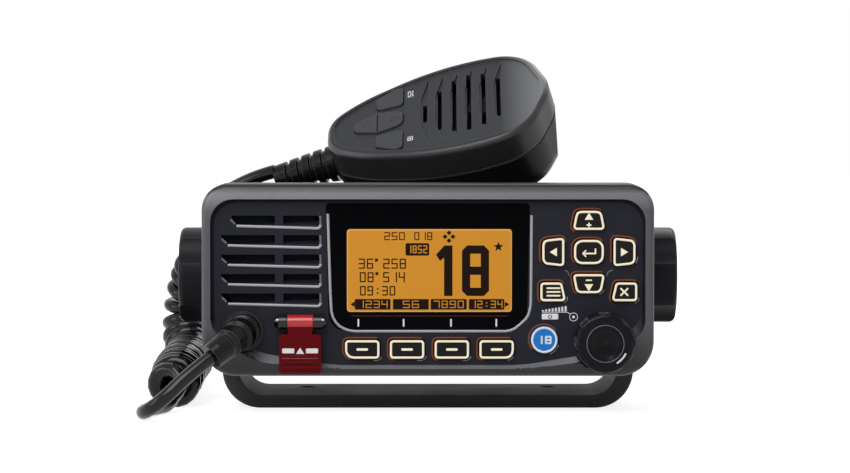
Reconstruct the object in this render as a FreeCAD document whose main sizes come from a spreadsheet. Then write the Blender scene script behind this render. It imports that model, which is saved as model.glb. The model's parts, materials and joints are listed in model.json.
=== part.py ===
import FreeCAD, Part
import math
import os
import re
import Sketcher

# A fixed-mount marine radio: a front panel with its keys and display, a die-cast chassis behind it,
# a tilting bracket under it, and a hand microphone on a curly cord that lies on the chassis.
# Millimetres. X to the right, Y to the back, Z up. The origin is on the surface that the bracket
# stands on, straight under the axis that the radio tilts about.

Vector = FreeCAD.Vector

SIZES = {
    # Front panel, seen from the front, about its own centre.
    "panel_width": 156.5,
    "panel_height": 66.5,
    "panel_depth": 22,
    "panel_reach": 50,            # how far its front stands ahead of the tilt axis
    "panel_rise": 46.8,           # height of its centre
    "panel_wall": 2.5,
    "panel_top_radius": 9,
    "panel_bottom_radius": 12,
    "panel_edge": 1.8,            # chamfer round the front
    "recess_depth": 2.5,
    "recess_side": 4.15,          # width of the raised frame at the sides, top and bottom
    "recess_top": 6.35,
    "recess_bottom": 3.7,
    "recess_top_radius": 8,
    "recess_flat": 33,            # half the level stretch of the recess's lower edge
    "recess_shoulder_across": 60, # where its lower edge turns up towards the corners
    "recess_shoulder_rise": 4.5,
    "recess_corner_rise": 15,
    "recess_sweep": 60,           # radii of the bends in its lower edge
    "recess_turn": 25,
    "recess_slope": 1.1,          # how much wider it is at the frame's front than at its floor
    "recess_dip": 2.2,            # and how much further its lower edge leans out below the shoulders
    "relief_gap": 0.6,            # room round the knob and the boot where the frame is sunk
    "face_wall": 2.5,
    "boss_radius": 3.2,
    "boss_across": 70.3,
    "boss_up": 25,
    # Speaker grille.
    "slot_count": 5,
    "slot_pitch": 6.75,
    "slot_width": 3.4,
    "slot_top": 20.6,             # middle of the top slot
    "slot_left": 71.8,
    "slot_right": 37.3,
    "slot_slant": 2,
    "slot_lean": 0.16,            # how much further right each slot ends than the one above
    "slot_top_step": 3.6,         # how much further right the top one starts, at the corner
    "slot_rib_across": 51.5,
    "slot_rib": 2.8,
    "speaker_across": 53.5,
    "speaker_up": 7.1,
    "speaker_radius": 18,
    "speaker_depth": 13,
    "magnet_radius": 11,
    "mesh_thickness": 0.5,
    # Display.
    "window_top_half": 35.3,
    "window_bottom_half": 34.2,
    "window_top": 26.6,
    "window_bottom": 17.6,
    "window_radius": 6,
    "window_thickness": 1.6,
    "lcd_width": 56.8,
    "lcd_height": 28.2,
    "lcd_across": 0.4,
    "lcd_up": 3.75,
    "lcd_rim": 3,
    # Keys.
    "key_proud": 1.6,
    "key_gap": 0.25,
    "key_flange": 1,
    "key_flange_scale": 1.14,     # the flange is the key's outline, this much larger
    "key_seat_gap": 0.3,
    "key_travel": 0.8,
    "key_edge": 0.5,
    "key_radius": 1.3,
    "key_outer_radius": 2.2,      # at the arrow keys' narrow sides
    "dpad_across": 55.65,
    "dpad_up": 9.75,
    "dpad_reach_across": 12.3,
    "dpad_reach_up": 10.95,
    "arrow_wide": 11.6,
    "arrow_narrow": 8.9,
    "arrow_deep": 6.9,
    "side_wide": 10.35,
    "side_narrow": 8.6,
    "side_deep": 7.9,
    "enter_wide": 10.6,
    "enter_high": 8.7,
    "enter_radius": 3,
    "menu_across": 12.25,
    "menu_down": 13.8,
    "menu_wide": 9.3,
    "menu_high": 6.8,
    "menu_slant": 1.6,
    "blue_across": 40.3,
    "blue_down": 20.7,
    "blue_radius": 4.75,
    "softkey_across": 0.55,
    "softkey_pitch": 15.5,
    "softkey_down": 24,
    "softkey_wide": 12.2,
    "softkey_high": 6.7,
    "softkey_cut": 3,
    "mat_thickness": 1.2,
    "board_thickness": 1.6,
    # Volume knob and its encoder.
    "knob_across": 60.75,
    "knob_down": 21.1,
    "knob_radius": 10.2,
    "knob_length": 13,
    "knob_gap": 1.2,
    "knob_dish_radius": 6.3,
    "knob_dish_depth": 1,
    "knob_flute_radius": 3.2,
    "knob_flute_depth": 0.7,
    "knob_flutes": 8,
    "shaft_radius": 3,
    "shaft_length": 16,
    "shaft_clearance": 0.05,
    "bushing_radius": 4,
    "encoder_wide": 11.6,
    "encoder_deep": 6.5,
    # Distress key and its cover.
    "distress_beside": 9.9,       # its middle, outwards from the window's lower corner
    "hinge_down": 14.4,
    "hinge_radius": 2.5,
    "hinge_pin_radius": 1.2,
    "hinge_knuckle": 4.4,
    "hinge_gap": 0.2,
    "cover_barrel": 8.8,
    "cover_width": 14.6,
    "cover_top": 18.6,
    "cover_bottom": 32.2,
    "cover_thickness": 1.7,
    "cover_neck": 8.4,
    "cover_lift": 0.5,            # gap between the cover and the raised frame
    "distress_key_wide": 11,
    "distress_key_high": 8,
    "distress_key_down": 24.4,
    # Microphone lead's boot on the panel.
    "lead_beside": 19.8,          # its middle, outwards from the distress key
    "lead_down": 17.6,
    "boot_flange_radius": 7,
    "boot_flange": 2,
    "boot_neck_radius": 4.6,
    "lead_boot_length": 24,
    "lead_straight": 11,          # the lead's straight run out of this boot
    "mic_lead_straight": 8,       # and out of the microphone's
    "lead_boot_radius": 6.2,
    "lead_boot_rings": 4,
    "boot_tip_radius": 4.4,
    "boot_groove": 1.1,
    "cord_radius": 2.5,
    "coil_radius": 8,             # outside radius of the curly stretch
    # Chassis.
    "chassis_half": 64.75,
    "chassis_height": 53.5,
    "chassis_back": 55,
    "chassis_radius": 8,
    "chassis_wall": 2.8,
    "flange_thickness": 3.2,
    "flange_clearance": 0.3,
    "gasket_thickness": 1.5,
    "gasket_width": 2,
    "fin_count": 13,
    "fin_pitch": 8,
    "fin_width": 2.2,
    "fin_deep": 4.5,
    "fin_tall": 22,
    "fin_up": 11,
    "screw_radius": 1.5,
    "screw_head_radius": 2.4,
    "screw_head": 1.8,
    "screw_length": 10,
    "insert_radius": 5.5,
    "insert_length": 9,
    # Inside the chassis.
    "board_down": 14,             # main board's top face below the tilt axis
    "main_board_half": 58,
    "main_board_front": -24,
    "main_board_back": 47,
    "post_radius": 3,
    "amplifier_long": 52,
    "amplifier_wide": 14,
    "amplifier_high": 9,
    "amplifier_across": -28,
    "shield_long": 44,
    "shield_wide": 30,
    "shield_high": 8,
    "shield_skin": 0.5,
    "shield_left": 2,
    "receiver_side": 25,
    "receiver_high": 6,
    "receiver_left": -40,
    "ribbon_wide": 24,
    "ribbon_thickness": 0.4,
    "ribbon_left": 8,
    "ribbon_rise": 6,
    # Rear connectors.
    "antenna_across": 42,
    "antenna_down": 12,
    "antenna_thread_radius": 7.9,
    "antenna_thread": 10,
    "antenna_flange_radius": 10.5,
    "antenna_flange": 2,
    "antenna_bore_radius": 5,
    "antenna_bore": 7,
    "contact_radius": 2.2,
    "contact_bore_radius": 1.6,
    "contact_bore": 4,
    "power_across": 0,
    "power_down": 14,
    "power_radius": 7,
    "power_length": 6,
    "power_bore_radius": 3.5,
    "power_floor": 0.6,
    # Mounting bracket.
    "pivot_rise": 46,
    "bracket_thickness": 4.5,     # of the foot
    "arm_thickness": 5.8,
    "arm_gap": 2.2,               # between an arm and the chassis
    "arm_half": 19.3,
    "plate_half": 22.5,
    "bracket_corner": 13.5,
    "arm_top_radius": 17.7,
    "foot_hole_across": 43.6,
    "foot_hole_back": 10,
    "foot_hole_radius": 2.75,
    "washer_gap": 0.1,
    "washer_radius": 12,
    # Bracket knobs.
    "grip_radius": 17.1,
    "grip_length": 15.9,
    "grip_gap": 0.3,
    "grip_edge": 2,
    "grip_scallops": 4,
    "grip_scallop_radius": 12,
    "grip_scallop_depth": 2.2,
    "grip_scallop_turn": 35,
    "grip_hub_radius": 9,
    "bolt_radius": 2.5,
    "bolt_length": 25,
    "bolt_clearance": 0.08,
    # Microphone, in its own frame: length, width and height from its parting line.
    "mic_across": 6,
    "mic_back": 12,
    "mic_rise": 96.75,
    "mic_yaw": -8.7,
    "mic_pitch": -13,
    "mic_roll": 34,
    "mic_half_length": 41.5,
    "mic_tail_half": 8.85,        # the outline's corners from the cord's end to the head's
    "mic_tail_radius": 13.2,
    "mic_flank_along": -28.9,
    "mic_flank_half": 18.45,
    "mic_flank_radius": 53,
    "mic_side_along": 2.8,
    "mic_side_half": 29.9,
    "mic_side_radius": 77,
    "mic_head_along": 33.5,
    "mic_head_half": 26.2,
    "mic_head_radius": 19.2,
    "mic_crown_half": 4.3,
    "mic_crown_radius": 18,
    "mic_widest": 28.4,           # half its width at its broadest
    "mic_front_height": 11,
    "mic_back_height": 19,        # depth behind the parting line at the head
    "mic_tail_depth": 9,          # and at the cord end
    "mic_back_radius": 7,
    "mic_back_taper": 4,          # how much shorter the back is than the parting line at the head
    "mic_front_edge": 2.4,
    "mic_wall": 2.2,
    "mic_gasket": 0.8,
    "mic_face_inset": 3,
    "mic_face_depth": 0.7,
    "mic_slots": 6,
    "mic_slot_pitch": 5.5,
    "mic_slot_first": -4.6,
    "mic_slot_across": 1,
    "mic_slot_wide": 1.6,
    "mic_slot_long": 36.5,        # the longest, which is the fourth
    "mic_slot_bow": 2.8,          # how much shorter the others grow towards both ends
    "mic_groove_wide": 3,
    "mic_groove_long": 42,
    "mic_groove_depth": 0.8,
    "mic_key_long": 10,
    "mic_key_wide": 11.4,
    "mic_key_along": -17.6,
    "mic_key_across": 14,
    "mic_key_cut_along": 7,       # the square keys' corners that the case's outline cuts off
    "mic_key_cut_across": 4.2,
    "mic_key_radius": 1.8,
    "mic_rocker_wide": 12.6,
    "mic_rocker_tail": 8.4,       # how far it reaches beyond the square keys
    "mic_rocker_split": 4.6,      # its division, towards the tail from their middle
    "mic_rocker_head": 0.66,      # its ends' widths against its middle's
    "mic_rocker_tip": 0.42,
    "mic_rocker_gap": 0.15,
    "mic_key_proud": 0.9,
    "ptt_long": 30,
    "ptt_high": 11,
    "ptt_along": 14,
    "ptt_proud": 2.2,
    "element_radius": 5,
    "element_along": 16,
    "element_high": 4,
    "mic_board_long": 46,
    "mic_board_wide": 34,
    "mic_board_along": 3.5,
    "mic_neck_radius": 4.8,
    "mic_boot_rise": -1.8,        # the cord's middle from the parting line
    "mic_boot_radius": 6.8,
    "mic_boot_length": 23,
    "mic_boot_rings": 5,
    "hanger_along": 8,
    "hanger_radius": 6,
    "hanger_stem_radius": 4,
    "hanger_high": 1.2,
    "hanger_head": 1.6,
    "mic_screw_middle": 2,        # the four screws, about a point a little towards the head
    "mic_screw_along": 29.5,
    "mic_screw_across": 14.1,
    "mic_screw_spread": 2.9,
    "mic_screw_top": 5,
    "mic_post_radius": 3,
}

# Places that several pieces share, worked out from the sizes.
PLACES = {
    "distress_across": "window_bottom_half + distress_beside",
    "lead_across": "distress_across + lead_beside",
    "arm_inner": "chassis_half + arm_gap",
    "bracket_half": "arm_inner + arm_thickness",
    "floor": "recess_depth",                                  # depths behind the panel's front
    "inner_face": "recess_depth + face_wall",
    "key_back": "inner_face + key_seat_gap + key_flange",
    "mat_front": "key_back + key_travel + 0.1",
    "control_board_front": "mat_front + mat_thickness",
    "window_front": "recess_depth + 0.3",
    "window_back": "window_front + window_thickness",
    "flange_front": "panel_depth - flange_thickness",
    "panel_back": "panel_depth - panel_reach",
    "board_top": "pivot_rise - board_down",
    "knob_front": "floor - knob_gap - knob_length",
    "hinge_depth": "floor - hinge_radius - hinge_gap",
    "cover_back": "-cover_lift",
    "cover_front": "-cover_lift - cover_thickness",
    "speaker_back": "inner_face + mesh_thickness + speaker_depth",
    "encoder_back": "inner_face + encoder_deep",
    "shaft_front": "encoder_back - 1 - shaft_length",
    "mic_face": "mic_front_height - mic_face_depth",
    "mic_under_face": "mic_face - mic_wall",
}

doc = FreeCAD.newDocument("MarineRadio")
sheet = doc.addObject("Spreadsheet::Sheet", "Sizes")
for row, (size_name, number) in enumerate(SIZES.items(), start=1):
    sheet.set(f"A{row}", size_name)
    sheet.set(f"B{row}", str(number))
    sheet.setAlias(f"B{row}", size_name)
doc.recompute()

PIECES = []


def formula(text):
    """A text of sizes and places as a formula of the sheet's cells."""
    def cell(found):
        word = found.group(0)
        if word in PLACES:
            return "(" + formula(PLACES[word]) + ")"
        return "Sizes." + word if word in SIZES else word
    return re.sub(r"[a-z][a-z0-9_]*", cell, str(text))


def value(text):
    """The number that a formula gives."""
    return float(sheet.evalExpression(formula(text)))


def bind(thing, formulas):
    """Tie an object's properties to formulas."""
    for path, text in formulas.items():
        thing.setExpression(path, formula(text))


def place(thing, x="0", y="0", z="0"):
    bind(thing, {"Placement.Base.x": x, "Placement.Base.y": y, "Placement.Base.z": z})
    return thing


def register(thing, name):
    """Make an object one of the radio's pieces."""
    thing.Label = name
    PIECES.append(thing)
    return thing


def new_body(name, x="0", y="0", z="0"):
    """A piece built from sketches and features, with its own origin at x, y, z."""
    return register(place(doc.addObject("PartDesign::Body", name), x, y, z), name)


def panel_body(name, across="0", up="0"):
    """A piece on the front panel: its origin is on the panel's front plane."""
    return new_body(name, across, "-panel_reach", f"panel_rise + {up}")


MIC_FRAME = ("create(<<placement>>; create(<<vector>>; mic_across; mic_back; mic_rise); "
             "create(<<rotation>>; mic_yaw; mic_pitch; mic_roll))")


def mic_body(name):
    """A piece of the microphone: X along it, Y across it, Z out of its face."""
    body = register(doc.addObject("PartDesign::Body", name), name)
    bind(body, {"Placement": MIC_FRAME})
    return body


# ---------------------------------------------------------------- sketches

def pin_point(sketch, shape, end, x, y):
    """Hold one point of a sketch at x, y."""
    for kind, text in (("DistanceX", x), ("DistanceY", y)):
        constraint = Sketcher.Constraint(kind, -1, 1, shape, end, value(text))
        number = sketch.addConstraint(constraint)
        sketch.setExpression(f"Constraints[{number}]", formula(text))


def add_circle(sketch, x, y, radius):
    circle = Part.Circle(Vector(value(x), value(y), 0), Vector(0, 0, 1), value(radius))
    shape = sketch.addGeometry(circle)
    pin_point(sketch, shape, 3, x, y)
    number = sketch.addConstraint(Sketcher.Constraint("Radius", shape, value(radius)))
    sketch.setExpression(f"Constraints[{number}]", formula(radius))


def add_outline(sketch, corners):
    """A closed outline through corners, each x, y and, where it is rounded, a radius."""
    first = sketch.GeometryCount
    count = len(corners)
    points = [Vector(value(corner[0]), value(corner[1]), 0) for corner in corners]
    for k in range(count):
        sketch.addGeometry(Part.LineSegment(points[k], points[(k + 1) % count]))
    for k, corner in enumerate(corners):
        joined = Sketcher.Constraint("Coincident", first + k, 2, first + (k + 1) % count, 1)
        sketch.addConstraint(joined)
        pin_point(sketch, first + k, 1, corner[0], corner[1])
    for k, corner in enumerate(corners):
        if len(corner) == 3:
            radius = value(corner[2])
            sketch.fillet(first + k, 1, radius, True, True)
            arc = sketch.GeometryCount - 2
            number = sketch.addConstraint(Sketcher.Constraint("Radius", arc, radius))
            sketch.setExpression(f"Constraints[{number}]", formula(corner[2]))


def add_loops(sketch, loops):
    """Circles are tuples of x, y, radius; outlines are lists of corners."""
    for loop in loops:
        if isinstance(loop, tuple):
            add_circle(sketch, *loop)
        else:
            add_outline(sketch, loop)


def body_sketch(body, plane, loops, offset="0"):
    """A sketch on one of a body's own planes, `offset` along the plane's normal."""
    sketch = body.newObject("Sketcher::SketchObject", body.Name + "_sketch")
    support = next(part for part in body.Origin.OriginFeatures if part.Role == plane)
    sketch.AttachmentSupport = [(support, "")]
    sketch.MapMode = "FlatFace"
    bind(sketch, {"AttachmentOffset.Base.z": offset})
    add_loops(sketch, loops)
    return sketch


def box(left, right, bottom, top, radius=None):
    """Corners of a rectangle, rounded or not."""
    corners = [(left, bottom), (right, bottom), (right, top), (left, top)]
    return [corner + (radius,) if radius else corner for corner in corners]


def centred_box(width, height, radius=None, x="0", y="0"):
    return box(f"{x} - ({width}) / 2", f"{x} + ({width}) / 2",
               f"{y} - ({height}) / 2", f"{y} + ({height}) / 2", radius)


def mirrored(corners):
    """The same outline with left and right changed over."""
    return [(f"-({corner[0]})",) + corner[1:] for corner in reversed(corners)]


# ---------------------------------------------------------------- features

FRONT, TOP, SIDE = "XZ_Plane", "XY_Plane", "YZ_Plane"     # planes that a profile is seen from


def grow(body, feature, formulas, sign):
    """Finish a feature and see that it added (sign 1) or took away (sign -1) material."""
    before = 0 if body.Shape.isNull() else body.Shape.Volume
    bind(feature, formulas)
    body.Tip = feature
    doc.recompute()
    if sign * (body.Shape.Volume - before) <= 0:
        raise RuntimeError(f"{body.Label}: {feature.Name} changes nothing")
    return feature


def slab(body, plane, loops, start, end):
    """Material between two levels along the plane's axis, start below end."""
    front = plane == FRONT
    sketch = body_sketch(body, plane, loops, f"-({start})" if front else start)
    feature = body.newObject("PartDesign::Pad", body.Name + "_pad")
    feature.Profile = sketch
    feature.Reversed = front
    return grow(body, feature, {"Length": f"({end}) - ({start})"}, 1)


def cut(body, plane, loops, start, end):
    """Take away what lies between two levels along the plane's axis."""
    front = plane == FRONT
    sketch = body_sketch(body, plane, loops, f"-({start})" if front else start)
    feature = body.newObject("PartDesign::Pocket", body.Name + "_pocket")
    feature.Profile = sketch
    feature.Reversed = not front
    return grow(body, feature, {"Length": f"({end}) - ({start})"}, -1)


def turned(body, plane, corners):
    """A solid of revolution about the sketch's level axis: corners are (along, radius)."""
    sketch = body_sketch(body, plane, [corners])
    feature = body.newObject("PartDesign::Revolution", body.Name + "_turned")
    feature.Profile = sketch
    feature.ReferenceAxis = (sketch, ["H_Axis"])
    feature.Angle = 360
    return grow(body, feature, {}, 1)


def bored(body, plane, corners):
    """Take away a solid of revolution about the sketch's level axis."""
    sketch = body_sketch(body, plane, [corners])
    feature = body.newObject("PartDesign::Groove", body.Name + "_bored")
    feature.Profile = sketch
    feature.ReferenceAxis = (sketch, ["H_Axis"])
    feature.Angle = 360
    return grow(body, feature, {}, -1)


def edges_at(body, axis, level):
    """Names of the edges that lie in the plane where an axis has a level."""
    target = value(level)
    names = []
    for k, edge in enumerate(body.Tip.Shape.Edges, start=1):
        bounds = edge.BoundBox
        low, high = getattr(bounds, axis + "Min"), getattr(bounds, axis + "Max")
        if abs(low - target) < 0.01 and abs(high - target) < 0.01:
            names.append(f"Edge{k}")
    return names


def edges_of_face(body, direction):
    """Names of the edges round the flat face that looks most nearly along a direction."""
    shape = body.Tip.Shape
    flat = [face for face in shape.Faces if isinstance(face.Surface, Part.Plane)]
    chosen = max(flat, key=lambda face: (round(face.normalAt(0, 0).dot(Vector(*direction)), 3), face.Area))
    return [f"Edge{k}" for k, edge in enumerate(shape.Edges, start=1)
            if any(edge.isSame(side) for side in chosen.OuterWire.Edges)]


def rounded(body, names, radius):
    """Round a body's named edges."""
    base = body.Tip
    feature = body.newObject("PartDesign::Fillet", body.Name + "_fillet")
    feature.Base = (base, names)
    return grow(body, feature, {"Radius": radius}, -1)


def bevelled(body, names, size):
    """Chamfer a body's named edges."""
    base = body.Tip
    feature = body.newObject("PartDesign::Chamfer", body.Name + "_chamfer")
    feature.Base = (base, names)
    return grow(body, feature, {"Size": size}, -1)


def row_of(body, feature, axis, length, count, sign=1):
    """Repeat a feature along one of the body's axes."""
    pattern = body.newObject("PartDesign::LinearPattern", body.Name + "_row")
    pattern.Originals = [feature]
    direction = next(part for part in body.Origin.OriginFeatures if part.Role == axis)
    pattern.Direction = (direction, [""])
    return grow(body, pattern, {"Length": length, "Occurrences": count}, sign)


def ring_of(body, feature, axis, count, sign=1):
    """Repeat a feature round one of the body's axes."""
    pattern = body.newObject("PartDesign::PolarPattern", body.Name + "_ring")
    pattern.Originals = [feature]
    centre = next(part for part in body.Origin.OriginFeatures if part.Role == axis)
    pattern.Axis = (centre, [""])
    pattern.Angle = 360
    return grow(body, pattern, {"Occurrences": count}, sign)


# ---------------------------------------------------------------- keys on the front panel

def wedge(wide, narrow, deep):
    """An arrow key's outline: its narrow side is at the top."""
    return [(f"-{wide} / 2", f"-{deep} / 2", "key_radius"), (f"{wide} / 2", f"-{deep} / 2", "key_radius"),
            (f"{narrow} / 2", f"{deep} / 2", "key_outer_radius"),
            (f"-{narrow} / 2", f"{deep} / 2", "key_outer_radius")]


def flipped(corners):
    """The same outline upside down."""
    return [(corner[0], f"-({corner[1]})") + corner[2:] for corner in reversed(corners)]


def side_wedge():
    """The left arrow key: its narrow side is at the left."""
    return [("-side_deep / 2", "-side_narrow / 2", "key_outer_radius"),
            ("side_deep / 2", "-side_wide / 2", "key_radius"),
            ("side_deep / 2", "side_wide / 2", "key_radius"),
            ("-side_deep / 2", "side_narrow / 2", "key_outer_radius")]


MENU_OUTLINE = [("-menu_wide / 2", "-menu_high / 2", "key_radius"),
                ("menu_wide / 2", "-menu_high / 2", "key_radius"),
                ("menu_wide / 2 - menu_slant", "menu_high / 2", "key_radius"),
                ("-menu_wide / 2", "menu_high / 2", "key_radius")]
SOFT_OUTLINE = centred_box("softkey_wide", "softkey_high", "key_radius")
FIRST_SOFT_OUTLINE = [("-softkey_wide / 2", "-softkey_high / 2", "softkey_cut")] + SOFT_OUTLINE[1:]
LAST_SOFT_OUTLINE = ([SOFT_OUTLINE[0], ("softkey_wide / 2", "-softkey_high / 2", "softkey_cut")]
                     + SOFT_OUTLINE[2:])

# Each key: its centre from the panel's centre, and its outline.
KEYS = {
    "key_up": ("dpad_across", "dpad_up + dpad_reach_up",
               wedge("arrow_wide", "arrow_narrow", "arrow_deep")),
    "key_down": ("dpad_across", "dpad_up - dpad_reach_up",
                 flipped(wedge("arrow_wide", "arrow_narrow", "arrow_deep"))),
    "key_left": ("dpad_across - dpad_reach_across", "dpad_up", side_wedge()),
    "key_right": ("dpad_across + dpad_reach_across", "dpad_up", mirrored(side_wedge())),
    "key_enter": ("dpad_across", "dpad_up", centred_box("enter_wide", "enter_high", "enter_radius")),
    "key_menu": ("dpad_across - menu_across", "dpad_up - menu_down", MENU_OUTLINE),
    "key_clear": ("dpad_across + menu_across", "dpad_up - menu_down", mirrored(MENU_OUTLINE)),
    "key_16": ("blue_across", "-blue_down", ("0", "0", "blue_radius")),
    "softkey_1": ("softkey_across - 1.5 * softkey_pitch", "-softkey_down", FIRST_SOFT_OUTLINE),
    "softkey_2": ("softkey_across - 0.5 * softkey_pitch", "-softkey_down", SOFT_OUTLINE),
    "softkey_3": ("softkey_across + 0.5 * softkey_pitch", "-softkey_down", SOFT_OUTLINE),
    "softkey_4": ("softkey_across + 1.5 * softkey_pitch", "-softkey_down", LAST_SOFT_OUTLINE),
    "distress_key": ("-distress_across", "-distress_key_down",
                     centred_box("distress_key_wide", "distress_key_high", "key_radius")),
}


def front_key(name, across, up, outline):
    """A key's cap stands through the panel; its flange stops it behind the face."""
    key = panel_body(name, across, up)
    slab(key, FRONT, [outline], "floor - key_proud", "key_back")
    rounded(key, edges_at(key, "Y", "floor - key_proud"), "key_edge")
    if isinstance(outline, tuple):
        flange = ("0", "0", "blue_radius + 1")
    else:
        flange = [(f"({corner[0]}) * key_flange_scale", f"({corner[1]}) * key_flange_scale")
                  for corner in outline]
    slab(key, FRONT, [flange], "key_back - key_flange", "key_back")


def key_hole(name, across, up, outline):
    """A cutter: the key's outline with its running gap, right through the panel's face."""
    sketch = doc.addObject("Sketcher::SketchObject", name + "_outline")
    sketch.Placement.Rotation = FreeCAD.Rotation(Vector(1, 0, 0), 90)
    place(sketch, across, "inner_face - panel_reach + 0.5", f"panel_rise + {up}")
    add_loops(sketch, [outline])
    wider = doc.addObject("Part::Offset2D", name + "_gap")
    wider.Source = sketch
    wider.Join = "Arc"
    bind(wider, {"Value": "key_gap"})
    cutter = doc.addObject("Part::Extrusion", name + "_hole")
    cutter.Base = wider
    cutter.DirMode = "Custom"
    cutter.Dir = Vector(0, -1, 0)
    cutter.Solid = True
    bind(cutter, {"LengthFwd": "inner_face + 1"})
    return cutter


# ---------------------------------------------------------------- front panel

def panel_outline(inset):
    """The panel's outline, moved in by `inset`."""
    inset = f"({inset})"
    half, tall = f"panel_width / 2 - {inset}", f"panel_height / 2 - {inset}"
    top, bottom = f"panel_top_radius - {inset}", f"panel_bottom_radius - {inset}"
    return [(f"-({half})", f"-({tall})", bottom), (half, f"-({tall})", bottom),
            (half, tall, top), (f"-({half})", tall, top)]


def recess_outline(front):
    """The sunk face inside the raised frame: its floor (front 0), or its opening (front 1)."""
    half = f"panel_width / 2 - recess_side + {front} * recess_slope"
    top = f"panel_height / 2 - recess_top + {front} * recess_slope"
    bottom = f"recess_bottom - panel_height / 2 - {front} * recess_slope"
    shoulder = f"{bottom} - {front} * recess_dip + recess_shoulder_rise"
    corner = f"{bottom} - {front} * recess_dip + recess_corner_rise"
    right = [("recess_flat", bottom, "recess_sweep"),
             ("recess_shoulder_across", shoulder, "recess_turn"),
             (half, corner, "recess_top_radius"), (half, top, "recess_top_radius")]
    return right + mirrored(right)


def slot_loops():
    """The grille's slots, each in two stretches with a rib between them."""
    loops = []
    for k in range(int(value("slot_count"))):
        low = f"slot_top - {k} * slot_pitch - slot_width / 2"
        high = f"slot_top - {k} * slot_pitch + slot_width / 2"
        left, right = "-slot_left" if k else "-slot_left + slot_top_step", f"-slot_right + {k} * slot_lean"
        loops.append([(f"{left} + slot_slant", low), ("-slot_rib_across - slot_rib / 2", low),
                      ("-slot_rib_across - slot_rib / 2", high), (left, high)])
        loops.append([("-slot_rib_across + slot_rib / 2", low), (right, low, "slot_width * 0.45"),
                      (right, high, "slot_width * 0.45"), ("-slot_rib_across + slot_rib / 2", high)])
    return loops


def window_outline(gap):
    return [(f"-window_bottom_half - {gap}", f"-window_bottom - {gap}", "window_radius"),
            (f"window_bottom_half + {gap}", f"-window_bottom - {gap}", "window_radius"),
            (f"window_top_half + {gap}", f"window_top + {gap}", "1.5"),
            (f"-window_top_half - {gap}", f"window_top + {gap}", "1.5")]


def lcd_box(grown):
    return centred_box(f"lcd_width + 2 * {grown}", f"lcd_height + 2 * {grown}", None,
                       "lcd_across", "lcd_up")


def corner_circles(radius):
    """Circles at the four corners where the chassis is screwed to the panel."""
    return [(f"{side} * boss_across", f"{level} * boss_up", radius)
            for side in (-1, 1) for level in (-1, 1)]


def front_panel():
    """A moulded tray open at the back, with a sunk face, bosses, and holes for all that it carries."""
    panel = place(doc.addObject("PartDesign::Body", "panel_moulding"), "0", "-panel_reach", "panel_rise")
    slab(panel, FRONT, [panel_outline("0")], "0", "panel_depth")
    rounded(panel, edges_at(panel, "Y", "0"), "panel_edge")
    cut(panel, FRONT, [panel_outline("panel_wall")], "inner_face", "panel_depth")
    recess = panel.newObject("PartDesign::SubtractiveLoft", "recess")
    recess.Profile = body_sketch(panel, FRONT, [recess_outline(1)])
    recess.Sections = [body_sketch(panel, FRONT, [recess_outline(0)], "-(floor)")]
    recess.Ruled = True
    grow(panel, recess, {}, -1)
    cut(panel, FRONT, [("-lead_across", "-lead_down", "boot_flange_radius + relief_gap"),
                       ("knob_across", "-knob_down", "knob_radius + relief_gap")], "0", "floor")
    slab(panel, FRONT, corner_circles("boss_radius"), "inner_face", "flange_front - gasket_thickness")
    cut(panel, FRONT, corner_circles("screw_radius"), "flange_front - screw_length",
        "flange_front - gasket_thickness")
    cut(panel, FRONT, slot_loops(), "floor", "inner_face")
    cut(panel, FRONT, [window_outline("0.1")], "floor", "window_back")
    cut(panel, FRONT, [lcd_box("1")], "window_back", "inner_face")
    cut(panel, FRONT, [("-lead_across", "-lead_down", "boot_neck_radius"),
                       ("knob_across", "-knob_down", "bushing_radius + 0.1")], "floor", "inner_face")
    holes = doc.addObject("Part::Compound", "key_holes")
    holes.Links = [key_hole(name, *key) for name, key in KEYS.items()]
    finished = doc.addObject("Part::Cut", "front_panel")
    finished.Base = panel
    finished.Tool = holes
    register(finished, "front_panel")


def display_window():
    window = panel_body("display_window")
    slab(window, FRONT, [window_outline("0")], "window_front", "window_back")


def lcd_module():
    """Glass, light guide and frame, seated behind the window; its pane stands into the opening."""
    lcd = panel_body("lcd_module")
    slab(lcd, FRONT, [lcd_box("lcd_rim")], "inner_face + 0.1", "control_board_front")
    slab(lcd, FRONT, [lcd_box("0")], "window_back + 0.1", "inner_face + 0.1")


def speaker_mesh():
    """A woven sheet that keeps spray out of the speaker."""
    mesh = panel_body("speaker_mesh", "-speaker_across", "speaker_up")
    slab(mesh, FRONT, [centred_box("2 * speaker_radius", "2 * speaker_radius", "speaker_radius * 0.66")],
         "inner_face", "inner_face + mesh_thickness")


def speaker():
    """Basket, cone and magnet, turned about the speaker's axis."""
    horn = panel_body("speaker", "-speaker_across", "speaker_up")
    front = "inner_face + mesh_thickness"
    turned(horn, SIDE, [(front, "0"), (front, "magnet_radius * 0.4"),
                        (f"{front} + 2.5", "magnet_radius * 0.6"),
                        (front, "speaker_radius - 2"), (front, "speaker_radius"),
                        (f"{front} + 1.5", "speaker_radius"), ("speaker_back - 5", "magnet_radius"),
                        ("speaker_back", "magnet_radius"), ("speaker_back", "0")])


def encoder_room():
    """A notch in the lower right corner, clear of the encoder."""
    room = "encoder_wide * 0.75"
    return box(f"knob_across - {room}", "panel_width / 2", "-panel_height / 2", f"{room} - knob_down")


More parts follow.
